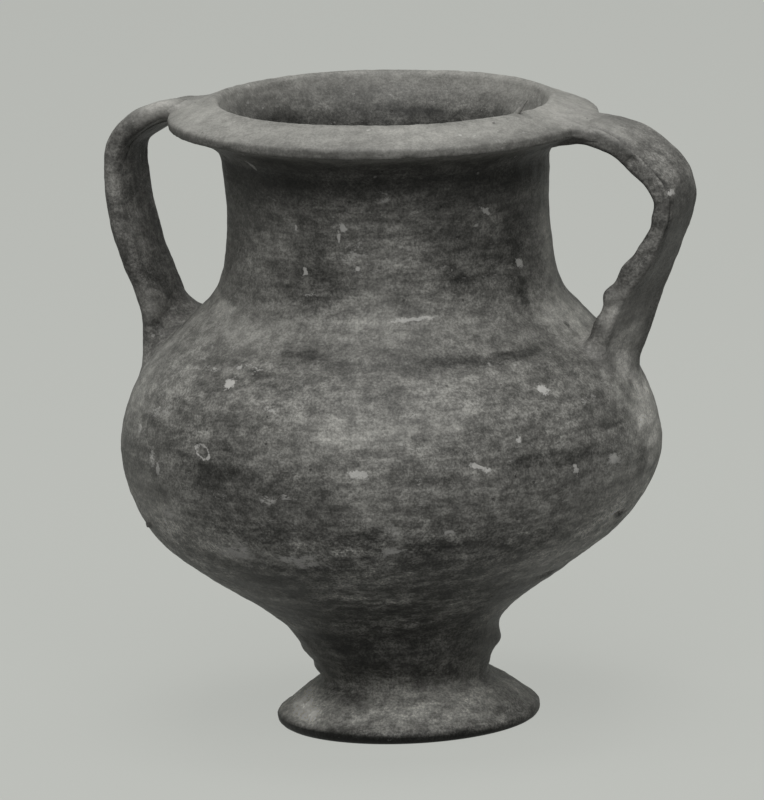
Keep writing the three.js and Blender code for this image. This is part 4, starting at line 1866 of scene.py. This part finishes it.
@dataclass
class LutingPad:
    """Wet clay smeared round a handle's end to join it to the jar.

    Attributes:
        handle: The handle.
        end: The end that it joins.
        spread: How far it runs out over the jar, in mm.
        drift: How much further it is smeared out from the handle's back, in mm.
        climb: How far it runs up the handle, in mm.
        fill: How much further it runs out and swells on the side turned to the jar, in mm.
        fill_shares: Shares of this by which it climbs and swells further.
        swell: How far its hollow is filled out, in mm.
        smear: Height of its finger marks, in mm.
        smear_size: Size of them, in mm.
        crumbs: Height and size of its roughness, in mm.
        ragged: Unevenness of its edges, as a share.
        rags: Lump size of that unevenness at the handle's and at the jar's edge, in mm.
        narrowing: How much less it is drifted out beside the handle than behind it.
        tuck: How far its edges lie under the skin, in mm.
        steps: Rings from the jar to the handle.
        depth: How far its hidden back lies in the clay, in mm.
        sharp: Edges that bend more than this many degrees stay sharp.
        lumps: Lumps and dents.
        clouds: Light and dark places, painted light and shade among them.
    """

    ELSEWHERE = 40.0

    handle: StrapHandle
    end: HandleEnd
    spread: float
    drift: float
    climb: float
    fill: float = 0.0
    fill_shares: tuple[float, float] = (0.6, 0.9)
    swell: float = 0.3
    smear: float = 0.22
    smear_size: float = 3.4
    crumbs: tuple[float, float] = (0.06, 1.2)
    ragged: float = 0.3
    rags: tuple[float, float] = (5.0, 4.0)
    narrowing: float = 0.4
    tuck: float = 0.06
    steps: int = 20
    depth: float = 0.5
    sharp: float = 70.0
    lumps: tuple[Blob, ...] = ()
    clouds: tuple[Blob, ...] = ()

    @property
    def name(self) -> str:
        """The pad's name."""
        return f"{self.handle.name}_{self.end.value}_pad"

    @cached_property
    def meeting(self) -> np.ndarray:
        """The share of the handle's length at which each line along it enters the jar."""
        return self.handle.entry(self.end)

    @cached_property
    def filling(self) -> np.ndarray:
        """How far the pad fills the crotch on each line along the handle, in mm."""
        return self.fill * np.clip(-self.handle.section[:, 3], 0.0, 1.0) ** 2

    @cached_property
    def held_share(self) -> np.ndarray:
        """The share of the handle's length up to which the pad climbs on each line along it."""
        step = (self.climb + self.fill_shares[0] * self.filling) / self.handle.line.length
        step = step * (1 if self.end is HandleEnd.TOP else -1)
        rags = NOISE.at(self.handle.surface(self.meeting), self.rags[0])
        return self.meeting + step * (1.0 + self.ragged * rags)

    def rings(self) -> np.ndarray:
        """Rings of points from the jar up to the handle and back through the clay.

        Returns:
            The upright places, ring by ring.
        """
        jar, weathering = self.handle.workshop.jar, self.handle.workshop.weathering
        meeting, held_share = self.meeting, self.held_share
        corner = self.handle.surface(meeting)
        _, jar_out = jar.nearest(corner)
        away = self.handle.outward(meeting)
        away = unit(away - (away * jar_out).sum(1, keepdims=True) * jar_out)
        side, _, _, out_up = self.handle.section.T
        reach = self.spread + self.drift * np.clip(out_up, 0.0, 1.0) ** 2 * (1.0 - self.narrowing * side**2)
        rags = NOISE.at(corner + self.ELSEWHERE, self.rags[1])
        reach = (reach + self.filling) * (1.0 + self.ragged * rags)
        edge, edge_out = jar.nearest(corner + away * reach[:, None])
        edge = edge + edge_out * (weathering.lift(edge) - self.tuck)[:, None]

        held_out = self.handle.outward(held_share)
        held_lift = self.handle.lift(held_share) - self.tuck
        held = self.handle.surface(held_share) + held_out * held_lift[:, None]

        swell = self.swell + self.fill_shares[1] * self.filling
        bend = corner + unit(jar_out + held_out) * swell[:, None]
        share = np.linspace(0.0, 1.0, self.steps + 1)[:, None, None]
        skin = (1 - share) ** 2 * edge + 2 * share * (1 - share) * bend + share**2 * held
        back = [
            held - held_out * self.depth,
            corner - (jar_out + held_out) * self.depth,
            edge - edge_out * self.depth,
        ]
        return np.concatenate([skin, back])

    def build(self) -> bpy.types.Object:
        """Draws the pad through its rings and smears it.

        Returns:
            The finished pad.
        """
        workshop = self.handle.workshop
        rings = self.rings()
        bm = bmesh.new()
        loft(bm, np.concatenate([rings, rings[:1]]))
        bmesh.ops.remove_doubles(bm, verts=bm.verts, dist=MERGE_DISTANCE)
        bmesh.ops.recalc_face_normals(bm, faces=bm.faces)
        mesh = mesh_from(bm, self.name, self.sharp)
        upright = vertices_of(mesh)
        out = np.array([vertex.normal for vertex in mesh.vertices])
        ring, column = np.divmod(attribute_of(mesh, "order"), len(rings[0]))
        ring = ring % len(rings)
        share = np.clip(ring / self.steps, 0.0, 1.0)
        loose = np.sin(math.pi * share)
        crumb, crumb_size = self.crumbs
        lift = self.smear * loose * NOISE.at(upright, self.smear_size)
        lift += crumb * loose * NOISE.at(upright, crumb_size)
        lift += loose * sum((lump.cover(upright) for lump in self.lumps), np.zeros(len(upright)))
        tone = (1 - share) * workshop.match(Slot.LUTING, Slot.THROWN) * workshop.toning.tone(upright)
        tone += share * workshop.match(Slot.LUTING, Slot.PULLED) * self.handle.tone(self.held_share)[column]
        for place in self.clouds:
            tone *= 1.0 + place.cover(upright)
        return workshop.finish(self.name, Slot.LUTING, mesh, upright + out * lift[:, None], tone)


@dataclass(frozen=True)
class Studio:
    """A plain pale floor, soft light from above and the camera.

    Attributes:
        pale: Colour of the floor and the background.
        bounce: Share of light that the floor throws back at the jar.
        shadow: Share of the floor's look that takes the jar's shadow.
        floor_half: Half the floor's side, in metres.
        sky: Strength of the light from all round.
        lamp_size: Side of each lamp, in metres.
        lamps: Where the lamps hang, in metres, and their power in watts.
        target: What the camera looks at, in metres.
        distance: The camera's distance from it.
        azimuth: The camera's turn to the right round the jar, in degrees.
        elevation: Its height over the horizon, in degrees.
        roll: Its turn about its own line of sight, in degrees.
        focal_pixels: Its focal length in pixels of the image.
        sensor: Its sensor's long side, in mm.
    """

    pale: tuple[float, float, float] = (0.527, 0.54, 0.509)
    bounce: float = 0.16
    shadow: float = 0.15
    floor_half: float = 6.0
    sky: float = 0.03
    lamp_size: float = 0.7
    lamps: tuple[tuple[tuple[float, float, float], float], ...] = (
        ((0.0, 0.0, 1.25), 7.2), ((0.24, -0.74, 0.95), 6.9),
    )
    target: tuple[float, float, float] = (-0.002625, -0.000853, 0.06643)
    distance: float = 1.8
    azimuth: float = 18.0
    elevation: float = 10.9
    roll: float = 2.6
    focal_pixels: float = 8793.8
    sensor: float = 36.0

    @staticmethod
    def seen_share(bench: NodeBench) -> bpy.types.NodeSocket:
        """1 for rays from the camera, from gloss and through glass, and 0 for light that bounces."""
        path = bench.add("ShaderNodeLightPath")
        seen = bench.math("MAXIMUM", path.outputs["Is Camera Ray"], path.outputs["Is Glossy Ray"])
        return bench.math("MAXIMUM", seen, path.outputs["Is Transmission Ray"])

    def floor(self) -> bpy.types.Object:
        """Lays the floor.

        Returns:
            The floor.
        """
        bm = bmesh.new()
        bmesh.ops.create_grid(bm, x_segments=1, y_segments=1, size=self.floor_half)
        mesh = mesh_from(bm, "floor")
        material = bpy.data.materials.new("floor")
        material.use_nodes = True
        bench = NodeBench(material.node_tree)
        glow = bench.shade("ShaderNodeEmission", self.pale)
        shown = bench.blend(self.shadow, glow, bench.shade("ShaderNodeBsdfDiffuse", self.pale))
        dim = bench.shade("ShaderNodeBsdfDiffuse", (self.bounce, self.bounce, self.bounce))
        mixed = bench.blend(self.seen_share(bench), dim, shown)
        output = bench.add("ShaderNodeOutputMaterial")
        bench.feed(output.inputs["Surface"], mixed.outputs[0])
        mesh.materials.append(material)
        floor = bpy.data.objects.new("floor", mesh)
        bpy.context.scene.collection.objects.link(floor)
        floor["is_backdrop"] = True
        return floor

    def light(self) -> None:
        """Hangs the lamps and lights the room."""
        for place, power in self.lamps:
            lamp = bpy.data.lights.new("lamp", "AREA")
            lamp.shape = "SQUARE"
            lamp.size = self.lamp_size
            lamp.energy = power
            hung = bpy.data.objects.new("lamp", lamp)
            hung.location = place
            aim = Vector(self.target) - Vector(place)
            hung.rotation_euler = aim.to_track_quat("-Z", "Y").to_euler()
            bpy.context.scene.collection.objects.link(hung)
        world = bpy.data.worlds.new("room")
        world.use_nodes = True
        bench = NodeBench(world.node_tree)
        seen = bench.shade("ShaderNodeBackground", self.pale)
        fill = bench.shade("ShaderNodeBackground", (1.0, 1.0, 1.0))
        fill.inputs["Strength"].default_value = self.sky
        mixed = bench.blend(self.seen_share(bench), fill, seen)
        output = bench.add("ShaderNodeOutputWorld")
        bench.feed(output.inputs["Surface"], mixed.outputs[0])
        bpy.context.scene.world = world

    def camera(self) -> bpy.types.Object:
        """Sets up the camera.

        Returns:
            The camera.
        """
        turn, rise, roll = (math.radians(angle) for angle in (self.azimuth, self.elevation, self.roll))
        right = Vector((math.cos(turn), math.sin(turn), 0.0))
        back = Vector((math.sin(turn) * math.cos(rise), -math.cos(turn) * math.cos(rise), math.sin(rise)))
        up = back.cross(right)
        across = math.cos(roll) * right - math.sin(roll) * up
        upward = math.sin(roll) * right + math.cos(roll) * up
        lens = bpy.data.cameras.new("camera")
        lens.sensor_width = self.sensor
        lens.sensor_height = self.sensor
        lens.lens = self.focal_pixels * self.sensor / IMAGE_HEIGHT
        camera = bpy.data.objects.new("camera", lens)
        camera.matrix_world = Matrix.Translation(Vector(self.target) + self.distance * back) @ (
            Matrix((across, upward, back)).transposed().to_4x4()
        )
        bpy.context.scene.collection.objects.link(camera)
        bpy.context.scene.camera = camera
        return camera


RIGHT_STATIONS = (
    (36.0, 123.2, 3.4), (45.7, 123.8, 4.4), (54.7, 119.8, 6.2), (60.9, 111.2, 5.4),
    (57.1, 100.0, 5.4), (51.3, 88.7, 8.2), (45.5, 72.1, 8.4),
)
LEFT_STATIONS = (
    (38.2, 124.0, 3.0), (44.1, 125.0, 6.0), (54.7, 119.2, 5.2), (55.9, 108.3, 6.1),
    (53.2, 95.9, 6.0), (48.6, 84.3, 6.2), (47.1, 74.7, 8.0), (45.8, 64.3, 5.5),
)
# The fold's shade of 0.55 is painted shade along its groove.
RIGHT_FOLDS = (
    Fold(((8, -5), (14, -5.8), (18, -6.2), (23, -6.5), (30, -6.7), (38, -6.7)), 0.8, -0.6, 0.55),
)
RIGHT_LUMPS = blobs(
    (54.6, -7.4, 119.2, 1.6, -0.6), (49, -6.6, 91.2, 2.6, 0.9), (50.5, -4, 118.6, 5, -0.7),
    (45.8, -6, 88.8, 2.6, -0.7), (61, 2, 117, 8, 0.8), (57, -7, 104.5, 4, -0.7), (51.8, -7, 97.5, 4, 0.5),
)
# The right handle's own tone mixed with painted light and shade: a painted highlight down its front edge,
# painted light at its root, and painted shade under its top by the lip.
RIGHT_TONE_AND_PAINTED_LIGHT = blobs(
    (50.5, -7.4, 88.5, 6, 1.4), (44, -3, 121, 6, -0.6), (48.5, -4, 127, 8, 0.6), (54, -7.5, 117.3, 4, -0.3),
    (57, -2, 122, 6, -0.25), (46.5, -6.5, 91, 3, -0.4), (54, -2, 95, 9, 0.25), (54, 0, 86, 7, 0.9),
    (52, -1, 79.5, 8, 2.8), (48, -6, 82, 6, 0.6), (53.7, -7.5, 117.7, 1.3, 0.8),
)
# Painted light on the right root's pad, which faces away from the lamps.
RIGHT_ROOT_PAINTED_LIGHT = blobs((49.5, -1, 76.5, 4, 0.9))
LEFT_FOLDS = (Fold(((30.0, 2.4), (42.0, 1.6), (54.0, 2.6)), 1.6, -0.25),)
LEFT_LUMPS = blobs((-46, 4, 127.5, 10, -1.3))
# The left handle's own tone mixed with painted light and shade: a lighter top and front edge where light
# falls, and a darker upper face turned to the jar and a darker root crevice where shade falls.
LEFT_TONE_AND_PAINTED_LIGHT = blobs(
    (-51, -4, 113.5, 7, -0.3), (-46.5, -7, 126.5, 7, 1.8), (-58, -7, 112, 7, 0.5), (-50.5, -3, 101, 8, 0.7),
    (-47.5, -4, 92.5, 6, -0.45), (-52, -7, 93, 6, -0.35), (-46.5, -6.5, 85.5, 6, 0.8),
    (-46.9, -8.6, 82.2, 3.6, -0.9),
)
LEFT_WAD = blobs((-41.6, -5.6, 86.4, 3.6, 1.8), (-47.6, -8.4, 83.2, 3, 0.7))
# Painted shade in the crevices round the left root's wad, and painted light on the wad.
LEFT_ROOT_PAINTED_LIGHT_AND_SHADE = blobs(
    (-46.6, -9.2, 81.6, 2.8, -0.75), (-40.2, -5.6, 85, 2.4, -0.65), (-41.3, -7.4, 82.9, 4.2, 0.9),
    (-41.8, -5.6, 87.4, 2.6, 0.4),
)


def make_workshop() -> Workshop:
    """Gathers the outline, the stance, the wear and the finishes that the pieces share."""
    jar, stance = JarOutline(), Stance()
    finishes = (
        ClayFinish(Slot.THROWN, Grain.WHEEL, specks=WALL_SPECKS),
        ClayFinish(Slot.PULLED, Grain.PULL, specks=HANDLE_SPECKS),
        ClayFinish(Slot.LUTING, Grain.SMEAR),
    )
    by_slot = {finish.slot: finish for finish in finishes}
    materials = {slot: finish.material(jar, stance) for slot, finish in by_slot.items()}
    return Workshop(jar, stance, Weathering(), Toning(), by_slot, materials)


def turned_pieces(workshop: Workshop) -> Iterable[TurnedPiece]:
    """The thrown pieces from the foot up."""
    jar = workshop.jar
    yield Foot(workshop, "foot")
    yield Stem(workshop, "stem")
    yield Bowl(workshop, "bowl")
    yield WallRing(workshop, "shoulder", low=jar.belly_seam, high=jar.neck_seam)
    yield WallRing(workshop, "neck", low=jar.neck_seam, high=jar.stations[-1][1])
    yield Lip(workshop, "lip")


def handles_and_pads(workshop: Workshop) -> Iterable[StrapHandle | LutingPad]:
    """The handles, and the pads that join them to the jar."""
    right = StrapHandle(
        workshop, "right_handle", Side.RIGHT, RIGHT_STATIONS,
        folds=RIGHT_FOLDS, lumps=RIGHT_LUMPS, clouds=RIGHT_TONE_AND_PAINTED_LIGHT,
    )
    left = StrapHandle(
        workshop, "left_handle", Side.LEFT, LEFT_STATIONS, corner=1.8, thinning=1.6, painted_hollow_shade=0.25,
        folds=LEFT_FOLDS, lumps=LEFT_LUMPS, clouds=LEFT_TONE_AND_PAINTED_LIGHT,
    )
    yield right
    yield left
    yield LutingPad(right, HandleEnd.TOP, spread=2.6, drift=6.0, climb=6.0)
    yield LutingPad(right, HandleEnd.ROOT, spread=2.6, drift=4.0, climb=4.5, clouds=RIGHT_ROOT_PAINTED_LIGHT)
    yield LutingPad(left, HandleEnd.TOP, spread=1.2, drift=3.0, climb=3.0, swell=0.05, smear=0.1)
    yield LutingPad(
        left, HandleEnd.ROOT, spread=2.4, drift=3.0, climb=5.0, fill=2.5, lumps=LEFT_WAD, clouds=LEFT_ROOT_PAINTED_LIGHT_AND_SHADE
    )


def main() -> None:
    """Builds the studio and the jar."""
    logging.basicConfig(level=logging.INFO, format="%(name)s %(message)s")
    bpy.context.scene.view_settings.view_transform = "Standard"
    frame_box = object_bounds()
    studio = Studio()
    studio.camera()
    studio.floor()
    studio.light()
    workshop = make_workshop()
    for piece in turned_pieces(workshop):
        piece.build()
    for piece in handles_and_pads(workshop):
        piece.build()
    boxes = {"frame": frame_box, "visual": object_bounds()}
    {name: [list(corner) for corner in box] for name, box in boxes.items()}


if __name__ == "__main__":
    main()
